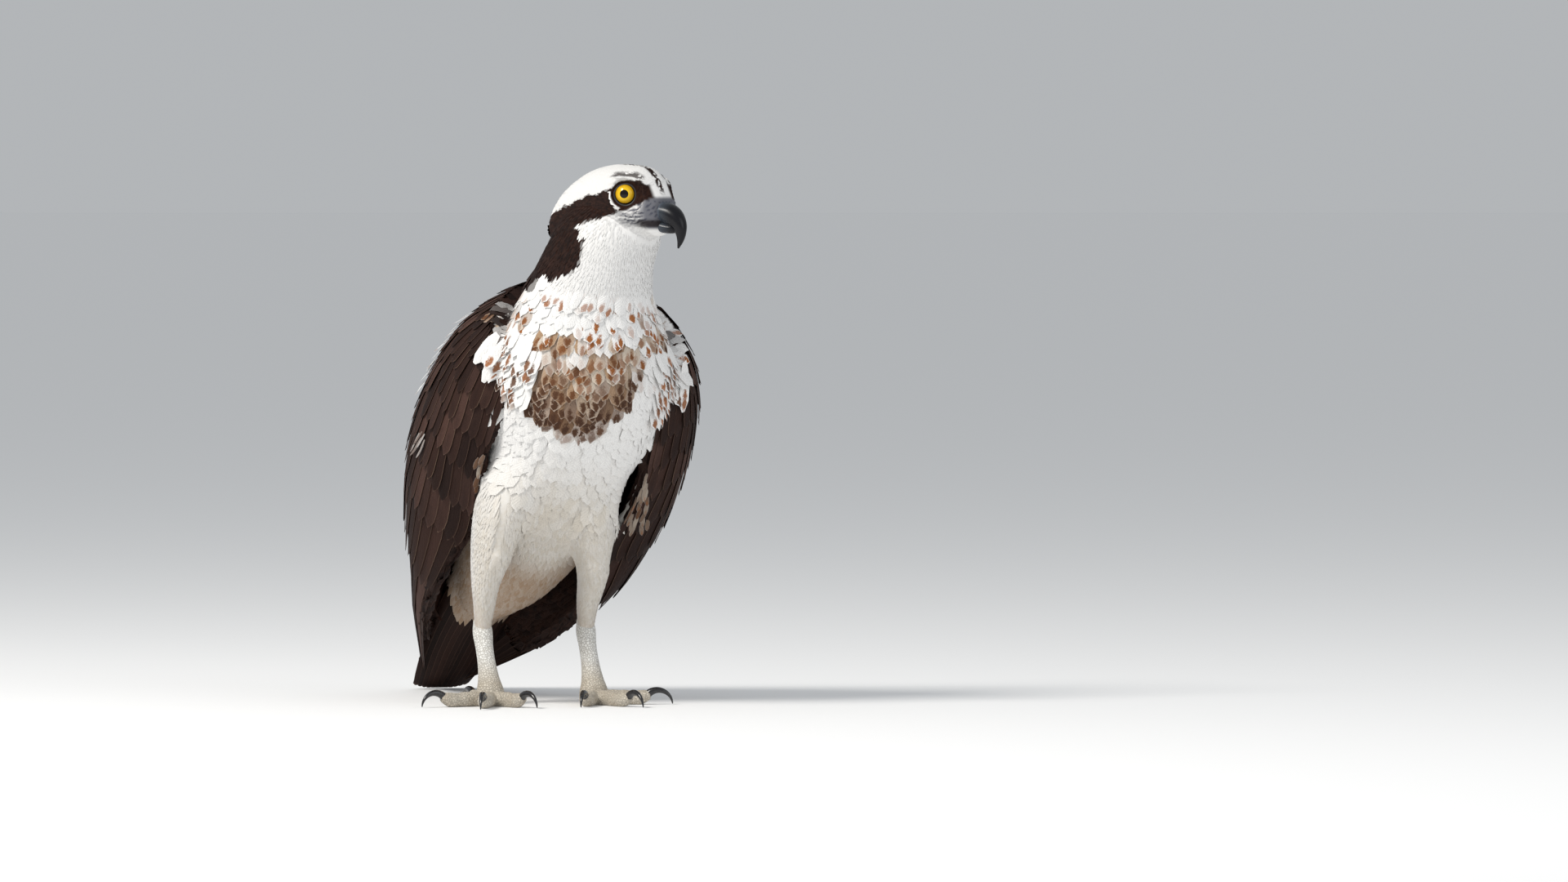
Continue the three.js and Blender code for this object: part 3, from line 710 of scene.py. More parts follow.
# Feathers laid over the skin: each starts at its root and follows the skin down its lie.
def lay(root, flow, length, width, lift, shape, stiff=0.25, sink=0.5, cup=0.16):
    levels, widths, across, roundness = (np.array(v) for v in shapes[shape])
    at, out, _ = nearest(root)
    line, normals = [at], [out]
    heading = unit(flow - out * (flow * out).sum(1, keepdims=True))
    for a, b in zip(levels[:-1], levels[1:]):
        target = line[-1] + heading * (length * (b - a))[:, None] * 0.001
        hug, out, _ = nearest(target)
        soft = np.clip(stiff * (0.4 + b), 0, 1)
        placed = hug + (target - hug) * soft
        out = unit(out * (1 - soft) + normals[-1] * soft)
        heading = unit(placed - line[-1])
        heading = unit(heading - out * (heading * out).sum(1, keepdims=True))
        line.append(placed)
        normals.append(out)
    rows = []
    for k, level in enumerate(levels):
        before, after = line[max(k - 1, 0)], line[min(k + 1, len(line) - 1)]
        run = unit(after - before)
        over = unit(np.cross(normals[k], run))
        wide = width * widths[k] * 0.5
        high = (-sink + (lift + sink) * level)[:, None]
        bend = cup * wide[:, None] * (across[None] ** 2)
        back = roundness * length[:, None] * across[None] ** 2 * (k == len(levels) - 1)
        rows.append(
            line[k][:, None]
            + over[:, None] * (wide[:, None] * across[None])[..., None] * 0.001
            + normals[k][:, None] * (high - bend)[..., None] * 0.001
            - run[:, None] * back[..., None] * 0.001
        )
    return np.stack(rows, 1)


# Outlines of feathers: shares of the length, widths there, places across, and how round the tip is
shapes = {
    "scallop": ([0, 0.3, 0.6, 0.85, 1], [0.55, 0.95, 1, 0.86, 0.42], [-1, -0.4, 0.4, 1], 0.1),
    "breast": ([0, 0.3, 0.6, 0.85, 1], [0.55, 0.95, 1, 0.8, 0.2], [-1, -0.5, 0, 0.5, 1], 0.05),
    "tuft": ([0, 0.3, 0.6, 0.85, 1], [0.7, 1, 0.8, 0.42, 0.06], [-1, 0, 1], 0.0),
    "small": ([0, 0.4, 0.75, 1], [0.7, 1, 0.8, 0.3], [-1, 0, 1], 0.05),
}


def jitter(count, amount):
    return 1 + amount * (2 * rng.random(count) - 1)


# Keeps the places that still lie on the joined skin and clear of the eyes and the bill.
def onSkin(points, reach=1.6):
    at, out, far = nearest(points)
    keep = far * 1000 < reach + 7 * inGroove(unleaned(points), 226, 47)
    for middle, look in eyes.values():
        _, high, wide = fromEye(at, middle, look)
        keep &= ~((wide < eyeOpening + 1.3) & (high > 0))
    h = toHead(at)
    keep &= ~((h[:, 0] > 33.5) & (np.abs(h[:, 1]) < 22) & (np.abs(h[:, 2]) < 40))
    return keep, at, out


# The wings' outer surfaces, for tests of nearness
wingGrid = 60
wingPlaces = []
for side in sides.values():
    share, across = np.meshgrid(np.linspace(0, 1, wingGrid), np.linspace(0, tau, wingGrid))
    wingPlaces.extend(wingForm(side)(share.ravel(), across.ravel(), -wingCoatDepth))
inner = range(wingGrid - 1)
cells = [start + r * wingGrid + c for start in (0, wingGrid**2) for r in inner for c in inner]
cells = [[k, k + 1, k + wingGrid + 1, k + wingGrid] for k in cells]
wingTree = BVHTree.FromPolygons([tuple(v) for v in wingPlaces], cells)


# The shading helpers: an expression on terms adds the nodes it needs.
def operator(operation, swapped=False):
    def apply(self, *others):
        terms = (*others, self) if swapped else (self, *others)
        return self.paint.node("ShaderNodeMath", {"operation": operation}, dict(enumerate(terms)))

    return apply


class Term:
    __add__ = __radd__ = operator("ADD")
    __sub__ = operator("SUBTRACT")
    __rsub__ = operator("SUBTRACT", True)
    __mul__ = __rmul__ = operator("MULTIPLY")
    __pow__ = operator("POWER")
    __abs__ = operator("ABSOLUTE")
    wave = operator("SINE")
    over = operator("MAXIMUM")

    def __init__(self, paint, socket):
        self.paint = paint
        self.socket = socket

    def clamp(self):
        return self.paint.node("ShaderNodeMath", {"operation": "ADD", "use_clamp": True}, {0: self, 1: 0.0})


class Paint:
    def __init__(self, name, **sockets):
        self.material = bpy.data.materials.new(name)
        self.material.use_nodes = True
        self.tree = self.material.node_tree
        self.shader = self.tree.nodes["Principled BSDF"]
        for key, value in sockets.items():
            self.shader.inputs[key.replace("_", " ")].default_value = value

    def feed(self, socket, value):
        if isinstance(value, Term):
            self.tree.links.new(value.socket, socket)
        else:
            socket.default_value = value

    def node(self, kind, settings, inputs, out=0):
        made = self.tree.nodes.new(kind)
        for key, value in settings.items():
            setattr(made, key, value)
        for key, value in inputs.items():
            self.feed(made.inputs[key], value)
        return Term(self, made.outputs[out])

    def mix(self, factor, a, b):
        return self.node("ShaderNodeMix", {"data_type": "RGBA"}, {0: factor, 6: a, 7: b}, 2)

    def attribute(self, name, out=0):
        return self.node("ShaderNodeAttribute", {"attribute_name": name}, {}, out)

    def noise(self, scale, detail=3.0, vector=None):
        vector = vector or self.node("ShaderNodeTexCoord", {}, {}, 3)
        return self.node("ShaderNodeTexNoise", {}, {"Vector": vector, "Scale": scale, "Detail": detail})

    def colour(self, value):
        self.feed(self.shader.inputs["Base Color"], value)

    def bump(self, height, strength, distance):
        made = self.node("ShaderNodeBump", {}, {"Height": height, "Strength": strength, "Distance": distance})
        self.feed(self.shader.inputs["Normal"], made)


def featherPaint(name, barbs):
    paint = Paint(name, Roughness=0.7, Specular_IOR_Level=0.16)
    place = paint.node("ShaderNodeUVMap", {"uv_map": "Vane"}, {})
    across, along = (paint.node("ShaderNodeSeparateXYZ", {}, {0: place}, k) for k in (0, 1))
    off = abs(across - 0.5) * 2
    ground = paint.attribute("ground")
    spotPower = paint.attribute("ground", 3)
    mark = paint.attribute("mark")
    fringePower = paint.attribute("mark", 3)
    rim = paint.attribute("rim")
    fray = paint.noise(900.0, 2.0)
    streak = paint.noise(240.0, 3.0)
    tear = (off * (2.15 - along)) ** 2.0 + (abs(along - 0.74) * 3.4) ** 2.0
    spot = (1.0 - tear) * 1.5 + fray * 2.0 + streak * 3.2 - 2.7
    edge = ((off ** 3.0).over((along - 0.72) * 3.2) - 0.62) * 4.0 + fray * 0.8 - 0.4
    barb = ((along * barbs) - (off * barbs * 0.25)).wave() * 0.5 + 0.5
    shaft = (1.0 - off * 14.0).clamp()
    body = paint.mix((spot.clamp() * spotPower).clamp(), ground, mark)
    body = paint.mix((edge.clamp() * fringePower).clamp(), body, rim)
    shade = (barb * 0.08 + fray * 0.24 + 0.80) - shaft * 0.08
    dark = paint.node("ShaderNodeHueSaturation", {}, {"Value": shade, "Color": body})
    paint.colour(dark)
    paint.bump(barb * 0.5 - shaft * 0.8 + fray, 0.35, 0.0006)
    return paint.material


coatPaint = featherPaint("coat", 60.0)
vanePaint = featherPaint("vanes", 110.0)
skinPaint = Paint("skin_under_coat", Roughness=0.85, Specular_IOR_Level=0.1)
skinPaint.colour(skinPaint.attribute("ground"))


# The wing's feathers in tiers: how many, the first and last one's root and tip as shares of the wing,
# places across, and drift.
wingTiers = {
    "primaries": (12, (0.5, 0.56), (0.90, 0.975), (0.08, 0.93), 0.0),
    "secondaries": (13, (0.38, 0.5), (0.68, 0.80), (0.05, 0.55), 0.02),
    "greater": (17, (0.3, 0.42), (0.5, 0.63), (0.08, 0.9), 0.02),
    "median": (20, (0.22, 0.33), (0.38, 0.49), (0.1, 0.92), 0.03),
    "lesser_d": (22, (0.16, 0.26), (0.29, 0.4), (0.1, 0.93), 0.03),
    "lesser_c": (22, (0.11, 0.2), (0.23, 0.32), (0.12, 0.94), 0.02),
    "lesser_b": (22, (0.06, 0.14), (0.17, 0.25), (0.14, 0.95), 0.02),
    "lesser_a": (22, (0.02, 0.08), (0.12, 0.18), (0.14, 0.96), 0.01),
    "least": (22, (0.0, 0.03), (0.07, 0.11), (0.14, 0.97), 0.01),
    "scapular_c": (5, (0.24, 0.26), (0.54, 0.44), (0.04, 0.24), 0.02),
    "scapular_b": (6, (0.12, 0.14), (0.4, 0.32), (0.04, 0.28), 0.02),
    "scapular_a": (7, (0.0, 0.02), (0.25, 0.18), (0.04, 0.32), 0.02),
}
vaneLevels = np.array([0, 0.14, 0.3, 0.46, 0.62, 0.76, 0.88, 0.96, 1])
vaneWidths = np.array([0.5, 0.8, 0.95, 1, 1, 0.95, 0.8, 0.52, 0.2])
level, over = np.meshgrid(vaneLevels, [-1, -0.5, 0, 0.5, 1], indexing="ij")  # shared by all vanes


# Shares along a vane, with its corners drawn back at the tip
def reachOf(corner):
    return level - corner * over**2 * (level > 0.9)


def wingVanes(side):
    grids, roots, tints = [], [], []
    for name, (count, rootShares, tipShares, places, drift) in wingTiers.items():
        for f in np.arange(count) / (count - 1):
            mixed = lambda pair: pair[0] + (pair[1] - pair[0]) * f
            root = max(mixed(rootShares) + 0.006 * rng.normal(), 0.0)
            tip = mixed(tipShares) + 0.008 * rng.normal()
            mid = mixed(places) + 0.003 * rng.normal()
            half = 0.66 * (places[1] - places[0]) / (count - 1)
            share = root + (tip - root) * reachOf(0.03)
            broad = np.maximum(vaneWidths, (name == "primaries") * 0.6 * (vaneLevels > 0.5))[:, None]
            across = mid + drift * level + over * half * broad
            at = wingPoint(side, share, np.clip(across, 0.003, 0.997))
            out = wingOut(side, share, np.clip(across, 0.02, 0.98))
            high = -2.6 + 3.5 * level + 0.55 * over + 0.35 * rng.normal() * level - 0.35 * over**2
            grids.append(at + out * high[..., None] * 0.001)
            roots.append([share[0, 2], across[0, 2]])
            tints.append(rng.random())
    return np.array(grids), np.array(roots), np.array(tints)


for sideName, side in sides.items():
    grids, roots, tints = wingVanes(side)
    count = len(grids)
    ground = blend(paints["dark"], paints["sepia"], 0.25 + 0.75 * tints)
    # Painted light: some feathers in uneven patches take the lighter lit brown, as the lit parts of the wing.
    patch = smooth(uneven(grids[:, 4, 2], 30), 0.42, 0.62)
    ground = blend(ground, paints["lit"], rng.random(count) * patch * 0.9)
    rim = blend(paints["edge"], paints["buff"], 0.2 * tints)
    marks = ground, plain("dark", count), rim, 0.25, 0.15 + 0.4 * rng.random(count)
    coat(f"wing_feathers_{sideName}", grids, roots, marks, vanePaint, 0.03)

# The tail's feathers, fanned
tail = {"count": 12, "start": 0.3, "spread": 0.88, "lowest": 0.0006}
grids, roots = [], []
for f in 2 * np.arange(tail["count"]) / (tail["count"] - 1) - 1:
    share = tail["start"] + (1.0 - 0.02 * f * f - tail["start"]) * reachOf(0.025)
    broad = np.maximum(vaneWidths, vaneLevels * 0.75)[:, None]
    x = np.clip(f * tail["spread"] + over * 1.7 / tail["count"] * broad, -1, 1)
    at, back, here = spineAt(tailRows, share)
    high = np.sqrt(np.maximum(1 - x * x, 0)) * here[..., 3] - 1.6 + 2.6 * level - 1.4 * abs(f) * level
    p = at + back * high[..., None]
    p[..., 0] += x * here[..., 2]
    p[..., 2] += p[..., 0] * math.tan(lean) * share
    grids.append(leaned(p))
    roots.append([f, 0.0])
grids = np.array(grids)
grids[..., 2] = np.maximum(grids[..., 2], tail["lowest"])
ground = blend(paints["dark"], paints["sepia"], rng.random(tail["count"]))
marks = ground, plain("dark", tail["count"]), plain("edge", tail["count"]), 0.2, 0.5
coat("tail_feathers", grids, np.array(roots), marks, vanePaint, 0.05)


# A coat laid on a form: piece says where and how its feathers lie.
def layForm(name, form, grow, piece):
    spacing, along = piece["spacing"], piece.get("along", -1)
    even = lambda share, turn: spacing + 0 * turn
    share, turn = quincunx(form, grow, *piece["zone"], even, piece.get("turns", (0, tau)))
    share = share + 0.0006 * spacing * rng.normal(size=len(share))
    turn = turn + 0.005 * spacing * rng.normal(size=len(turn))
    at = form(share, turn, grow)
    flow = unit(form(np.clip(share + 0.01 * along, 0, 1), turn, grow) - at)
    keep, at, out = onSkin(at, piece.get("reach", 1.8))
    share, turn, at, flow, out = (v[keep] for v in (share, turn, at, flow, out))
    if "flow" in piece:
        flow = unit(flow + piece["flow"](at, out))
    length, width, lift = piece["sizes"](share, turn, at)
    grid = lay(at, flow, length, width, lift, piece["shape"], piece.get("stiff", 0.25))
    if "clear" in piece:
        far = np.array([min(wingTree.find_nearest(f[-k, 1])[3] for k in (1, 2, 3)) for f in grid])
        keep = far * 1000 > piece["clear"]
        share, turn, out, grid = (v[keep] for v in (share, turn, out, grid))
    middle = grid.shape[2] // 2
    tips = 0.35 * grid[:, 0, middle] + 0.65 * grid[:, -1, middle]
    marks = piece.get("marks", regionMarks)(tips, out)
    keys = np.stack([turn, share], 1)
    pieces = max(1, math.ceil(grid.shape[0] * (grid.shape[1] - 1) * (grid.shape[2] - 1) * 2 / 190000))
    order = np.argsort(share, kind="stable")
    for k in range(pieces):
        part = order[k * len(order) // pieces : (k + 1) * len(order) // pieces]
        label = f"{name}_{k + 1}" if pieces > 1 else name
        coat(label, grid[part], keys[part], [m[part] for m in marks], coatPaint)


# Length, width and lift in mm, each from the form's start to its end
def sized(length, width, lift, spread=0.15):
    def sizes(share, turn, at):
        return [(a + (b - a) * share) * jitter(len(share), spread) for a, b in (length, width, lift)]

    return sizes


def ruffled(at, out):
    return 0.22 * rng.normal(size=at.shape)


trunkCoats = {
    "belly": {
        "zone": (0.03, 0.39),
        "spacing": 3.9,
        "shape": "tuft",
        "sizes": sized((30, 20), (8.5, 8.5), (2.2, 2.2)),
    },
    "breast": {
        "zone": (0.38, 0.78),
        "spacing": 6.2,
        "shape": "breast",
        "sizes": sized((32, 18), (13, 9), (2.8, 2.2), 0.25),
        "flow": ruffled,
    },
    "neck": {
        "zone": (0.75, 0.96),
        "spacing": 2.5,
        "shape": "tuft",
        "sizes": sized((24, 8), (6.5, 2.6), (1.3, 0.5)),
    },
}
for label, piece in trunkCoats.items():
    layForm(f"coat_{label}", trunkForm, -coatDepth, piece)


# Shoulder feathers hang from the breast's sides over the bends of the wings.
def outward(at, out):
    return np.stack([np.sign(unleaned(at)[:, 0]) * 0.32, -0.1 + 0 * at[:, 0], -0.75 + 0 * at[:, 0]], 1)


def shoulderMarks(p, out):
    count = len(p)
    dice = rng.random(count)
    mark = blend(paints["rufous"], paints["brown"], rng.random(count))
    return plain("white", count), mark, plain("white", count), (dice > 0.45) * 0.95, 0.3 + 0 * dice


shoulder = {
    "zone": (0.585, 0.67),
    "spacing": 6.2,
    "shape": "breast",
    "sizes": sized((28, 28), (11.5, 11.5), (5.5, 5.5)),
    "flow": outward,
    "reach": 5.0,
    "stiff": 0.75,
    "marks": shoulderMarks,
}
flank = {
    "zone": (0.385, 0.56),
    "spacing": 5.0,
    "shape": "tuft",
    "sizes": sized((26, 28), (8, 9), (1.4, 3.4)),
    "reach": 3.0,
    "stiff": 0.5,
    "clear": 4.5,
}
for sideName, turns in (("left", (-0.72, 0.08)), ("right", (math.pi - 0.08, math.pi + 0.72))):
    layForm(f"coat_shoulder_{sideName}", trunkForm, -1.0, {**shoulder, "turns": turns})
    layForm(f"coat_flank_{sideName}", trunkForm, -1.6, {**flank, "turns": turns})


# White, spotted and mottled feathers that lie on the wings' fronts, and a pale streak on the right one
def mottledMarks(p, out):
    _, mark, edge, spot, fringe = shoulderMarks(p, out)
    ground = blend(paints["brown"], paints["warm"], 0.5 * rng.random(len(p)) ** 1.5)
    return ground, mark, 0.45 * edge, 0.5 * spot, fringe + 0.2


def streakMarks(p, out):
    _, mark, edge, spot, fringe = mottledMarks(p, out)
    ground = blend(paints["brown"], paints["white"], 0.1 + 0.45 * rng.random(len(p)))
    return ground, mark, edge, 0 * spot, fringe


# Each patch: side, places rightward and heights as the camera sees them, spacing, size and marks
wingPatches = {
    "cape_right": (-1, (-29, -12), (270, 312), 4.6, (20, 9), shoulderMarks),
    "cape_left": (1, (72, 113), (264, 308), 4.6, (20, 9), shoulderMarks),
    "mottle_right": (-1, (-46, -31), (168, 196), 4.6, (10, 4), mottledMarks),
    "mottle_left": (1, (72, 84), (140, 198), 4.6, (11, 4), mottledMarks),
    "streak_right": (-1, (-93, -86), (198, 214), 4.4, (13, 2.0), streakMarks),
}
wingTries = 12000
tuftLevel, tuftOver = np.meshgrid([0, 0.3, 0.6, 0.85, 1], [-1, -0.5, 0, 0.5, 1], indexing="ij")
for label, (side, (left, right), (bottom, top), spacing, (long, wide), marker) in wingPatches.items():
    share, across = rng.uniform(0, 0.6, wingTries), rng.uniform(0.05, 0.99, wingTries)
    at, out = wingPoint(side, share, across), wingOut(side, share, across)
    r, z = (at - stance) @ viewRight * 1000, at[:, 2] * 1000
    fit = (r > left) & (r < right) & (z > bottom) & (z < top) & (out @ viewBack > 0.08)
    chosen = []
    for k in np.nonzero(fit)[0]:
        if all(np.linalg.norm(at[k] - at[j]) * 1000 > spacing for j in chosen):
            chosen.append(k)
    share, across, at = share[chosen], across[chosen], at[chosen]
    perShare = np.linalg.norm(wingPoint(side, share + 0.01, across) - at, axis=1) * 1e5
    perAcross = np.linalg.norm(wingPoint(side, share, across - 0.02) - at, axis=1) * 5e4
    spread = np.array([0.55, 0.95, 1, 0.8, 0.25])[:, None] * tuftOver * 0.5
    pick = lambda v: v[:, None, None]
    turned = pick(0.35 * rng.normal(size=len(share)))
    s1 = pick(share) + long * pick(jitter(len(share), 0.2)) * tuftLevel / pick(perShare)
    sideways = (wide * spread + turned * long * tuftLevel * 0.4) / pick(perAcross)
    a1 = np.clip(pick(across) + sideways, 0.005, 0.995)
    high = (0.6 + 2.6 * tuftLevel - 0.5 * tuftOver**2) * 0.001
    grid = wingPoint(side, s1, a1) + wingOut(side, s1, np.clip(a1, 0.02, 0.98)) * high[..., None]
    keys = np.stack([across, share], 1)
    coat(f"coat_{label}", grid, keys, marker(grid[:, 3, 2], None), coatPaint)


# Sizes at places forward on the head, in mm
def headSizes(share, turn, at):
    forward = toHead(at)[:, 0]
    count = len(share)
    length = np.interp(forward, [-66, -50, -30, 0, 20, 34], [17, 13, 8, 6, 4.2, 2.4]) * jitter(count, 0.15)
    width = np.interp(forward, [-50, 0, 34], [4.2, 2.8, 1.4]) * jitter(count, 0.15)
    lift = np.interp(forward, [-66, -50, 0, 34], [2.6, 1.5, 0.7, 0.3]) * jitter(count, 0.3)
    return length, width, lift


headCoat = {"zone": (0.02, 0.955), "spacing": 1.5, "sizes": headSizes, "shape": "small"}
browCoat = {"zone": (0.05, 0.95), "spacing": 1.3, "sizes": headSizes, "shape": "small"}
thighCoat = {
    "zone": (0.12, 0.97),
    "spacing": 2.8,
    "along": 1,
    "shape": "tuft",
    "sizes": sized((24, 3.5), (7.5, 2.4), (1.2, 0.3)),
    "reach": 1.2,
}
underwingCoat = {
    "zone": (0.02, 0.8),
    "spacing": 5.5,
    "along": 1,
    "shape": "scallop",
    "sizes": sized((14, 30), (7, 11), (1.4, 1.4)),
    "turns": (0.9 * math.pi, 1.5 * math.pi),
    "reach": 3.0,
    "marks": darkMarks,
    "slot": "feather_brown",
}
layForm("coat_head", skullForm, -headCoatDepth, headCoat)
for sideName, side in sides.items():
    layForm(f"coat_brow_{sideName}", browForm(side), -0.6, browCoat)
    layForm(f"coat_thigh_{sideName}", limbForm(thighRows, sideName), -coatDepth, thighCoat)
    layForm(f"coat_underwing_{sideName}", wingForm(side), -wingCoatDepth, underwingCoat)


def darkCoat(name, grids, roots):
    grids = np.array(grids)
    grids[..., 2] = np.maximum(grids[..., 2], 0.0008)
    coat(name, grids, np.array(roots), darkMarks(grids[:, 0, 2], None), vanePaint, 0.02)


# Coverts over the tail, in tiers on the tail's own form
coverts = {"tiers": 13, "across": 11, "start": 0.04, "apart": 0.052, "wide": 0.19, "turns": (1.06, 0.088)}
grids, roots = [], []
for k in range(coverts["tiers"]):
    for j in range(coverts["across"]):
        start = coverts["start"] + coverts["apart"] * k + 0.008 * rng.normal()
        turn = coverts["turns"][0] + coverts["turns"][1] * (j + 0.5 * (k % 2)) + 0.008 * rng.normal()
        turn = math.pi * turn
        share = start + (0.16 - 0.05 * start) * reachOf(0.08)
        turns = turn + over * coverts["wide"] * vaneWidths[:, None]
        grids.append(tailForm(share, turns, -2.2 + (3.6 - 1.6 * start) * level + 0.3 * over))
        roots.append([turn, start])
darkCoat("coat_uppertail", grids, roots)

# Back feathers close the space between the folded wings.
backCoat = {"count": 30, "apart": 0.022, "aside": 5.0, "long": 0.15, "wide": 10}
grids, roots = [], []
for k in range(backCoat["count"]):
    start = backCoat["apart"] * k
    centre = backCoat["aside"] * (1 if k % 2 else -1) * rng.uniform(0.5, 1)
    share = start + (backCoat["long"] + 0.03 * rng.random()) * reachOf(0.05)
    row = rowAt(wingRows, share)
    across = centre + over * (backCoat["wide"] + 2 * rng.random()) * vaneWidths[:, None]
    high = row[..., 2] - 3.0 + 3.0 * level + 0.4 * rng.random() - 0.012 * across**2
    grids.append(wingPlace(1, row[..., 0], across, high))
    roots.append([centre, start])
darkCoat("coat_mantle", grids, roots)

# A ragged white line along the right wing's outline, where pale feathers of the back stand out behind it
fringe = {
    "samples": (130, 97),  # along and across the wing
    "end": 0.62,
    "heights": (0.250, 0.305),
    "gaps": 0.25,
    "long": (0.010, 0.018),
    "wide": (0.0013, 0.0024),
}
edgeAcross = np.linspace(0.02, 0.98, fringe["samples"][1])
tuftLevels, tuftWidths = np.array([0, 0.3, 0.6, 0.85, 1]), np.array([0.6, 1, 0.9, 0.55, 0.1])
grids, roots = [], []
for share in np.linspace(0.0, fringe["end"], fringe["samples"][0]):
    here = np.full(len(edgeAcross), share)
    normals, places = wingOut(-1, here, edgeAcross), wingPoint(-1, here, edgeAcross)
    facing = normals @ -viewBack
    turnOver = np.nonzero(np.diff(np.sign(facing)))[0]
    for k in turnOver:
        low, high = fringe["heights"]
        if not low < places[k, 2] < high or rng.random() < fringe["gaps"]:
            continue
        k = min(max(k + rng.integers(-2, 3), 0), len(edgeAcross) - 2)
        k = k if facing[k] > -0.05 else turnOver[0]
        at = places[k] + normals[k] * 0.0004 - viewBack * 0.001
        down = unit(wingPoint(-1, here + 0.01, edgeAcross)[k] - places[k])
        run = unit(down + 0.16 * normals[k] + 0.07 * rng.normal(size=3))
        sideways = unit(np.cross(normals[k], run))
        long, wide = rng.uniform(*fringe["long"]), rng.uniform(*fringe["wide"])
        line = at + run * (long * tuftLevels)[:, None]
        widths = np.array([-1, 0, 1])[None, :, None] * (wide * tuftWidths)[:, None, None]
        grids.append(line[:, None] + sideways * widths)
        roots.append([k / len(edgeAcross), share])
grids = np.array(grids)
marks = shoulderMarks(grids[:, 0, 1], None)
coat("coat_wing_fringe", grids, np.array(roots), marks, coatPaint)

# The skin's own marks, with the same painted shade low on the belly and under the body
ground = regionMarks(skinAt, np.array([v.normal[:] for v in skin.vertices]))[0]
q = unleaned(skinAt)
onWing = np.array([wingTree.find_nearest(p)[3] < 0.0018 for p in skinAt])
onWing &= (np.abs(q[:, 0] - 8) > 52) | (q[:, 1] > 72)
ground[onWing] = paints["dark"]
ground[q[:, 1] > 225] = paints["sepia"]
paintPoints(skin, "ground", ground)
fleshNodes = ["head", "neck", "torso", "tail"]
fleshNodes += [f"{part}_{sideName}" for part in ("wing", "thigh") for sideName in sides]
newObject("skin", skin, skinPaint.material, fleshNodes)

# The bill, with its cere
billPaint = Paint("bill", Roughness=0.27, Specular_IOR_Level=0.25)
billPaint.colour(billPaint.attribute("ground"))
billPaint.bump(billPaint.noise(260.0, 4.0), 0.12, 0.0005)
billTones = {"horn": (0.006, 0.006, 0.008), "cere": (0.11, 0.13, 0.165), "pale": (0.13, 0.16, 0.20)}
billTones = {name: np.array(value) for name, value in billTones.items()}
for label, rows, cereTop in (("upper", upperBillRows, -11), ("lower", lowerBillRows, -30)):
    horn = bmesh.new()
    ballInto(horn, billForm(rows), 40, 56)
    mesh = meshOf(horn, f"bill_{label}")
    forward, _, up = toHead(coordinates(mesh)).T
    cere = fades(forward, 37.5, 40.5) * smooth(up, -14, cereTop)
    colour = blend(billTones["horn"], billTones["cere"], cere)
    colour = blend(colour, billTones["pale"], fades(forward, 38, 49) * 0.25)
    paintPoints(mesh, "ground", colour)
    newObject(f"bill_{label}_horn", mesh, billPaint.material, [f"bill_{label}"])

# The eyes: iris and pupil are rings round the way the eye looks.
eyeTones = {
    "iris": (0.74, 0.46, 0.006, 1),
    "outer": (0.42, 0.20, 0.004, 1),
    "threads": (0.92, 0.62, 0.03, 1),
    "pupil": (0.004, 0.003, 0.003, 1),
}
eyePaint = Paint("eye", Roughness=0.12, Coat_Weight=0.2, Coat_Roughness=0.02, Specular_IOR_Level=0.2)
ring = eyePaint.attribute("ring", 2)
threads = eyePaint.noise(900.0, 3.0)
iris = eyePaint.mix((ring * 0.30 - 1.1).clamp(), eyeTones["iris"], eyeTones["outer"])
iris = eyePaint.mix((threads * 0.4).clamp(), iris, eyeTones["threads"])
pupil = ((3.35 - ring) * 6.0).clamp()
rim = ((ring - 6.7) * 1.6).clamp()
eyePaint.colour(eyePaint.mix(pupil.over(rim), iris, eyeTones["pupil"]))
lid = {"turns": 56, "profile": 14, "thick": 0.75, "high": 0.8, "tone": (0.018, 0.017, 0.019, 1)}
lidPaint = Paint("lid", Roughness=0.5)
lidPaint.colour(lid["tone"])
for sideName, (middle, look) in eyes.items():
    globe = bmesh.new()
    turned = Vector((0, 0, 1)).rotation_difference(Vector(look)).to_matrix().to_4x4()
    seat = Matrix.Translation(Vector(middle)) @ turned
    bmesh.ops.create_uvsphere(globe, u_segments=48, v_segments=40, radius=eyeRadius * 0.001, matrix=seat)
    mesh = meshOf(globe, f"eyeball_{sideName}")
    _, high, wide = fromEye(coordinates(mesh), middle, look)
    values = mesh.attributes.new("ring", "FLOAT", "POINT")
    values.data.foreach_set("value", np.where(high > 0, wide, 9.0).astype(np.float32))
    newObject(f"eyeball_{sideName}", mesh, eyePaint.material, [f"eye_{sideName}"])
    band = bmesh.new()
    made = bmesh.ops.create_grid(band, x_segments=lid["turns"], y_segments=lid["profile"], size=1)
    for v in made["verts"]:
        a, b = (v.co.x + 1) * math.pi, (v.co.y + 1) * math.pi
        radius = eyeOpening + 0.5 + lid["thick"] * math.cos(b)
        brow = 1 + 0.10 * math.sin(a)
        rise = eyeDepth + 0.15 + lid["high"] * math.sin(b)
        place = Vector((radius * math.cos(a) * 1.03, radius * math.sin(a) / brow, rise))
        v.co = seat @ (place * 0.001)
    bmesh.ops.remove_doubles(band, verts=band.verts[:], dist=1e-6)
    newObject(f"lid_{sideName}", meshOf(band, f"lid_{sideName}"), lidPaint.material)

print("bill, eyes and lids")

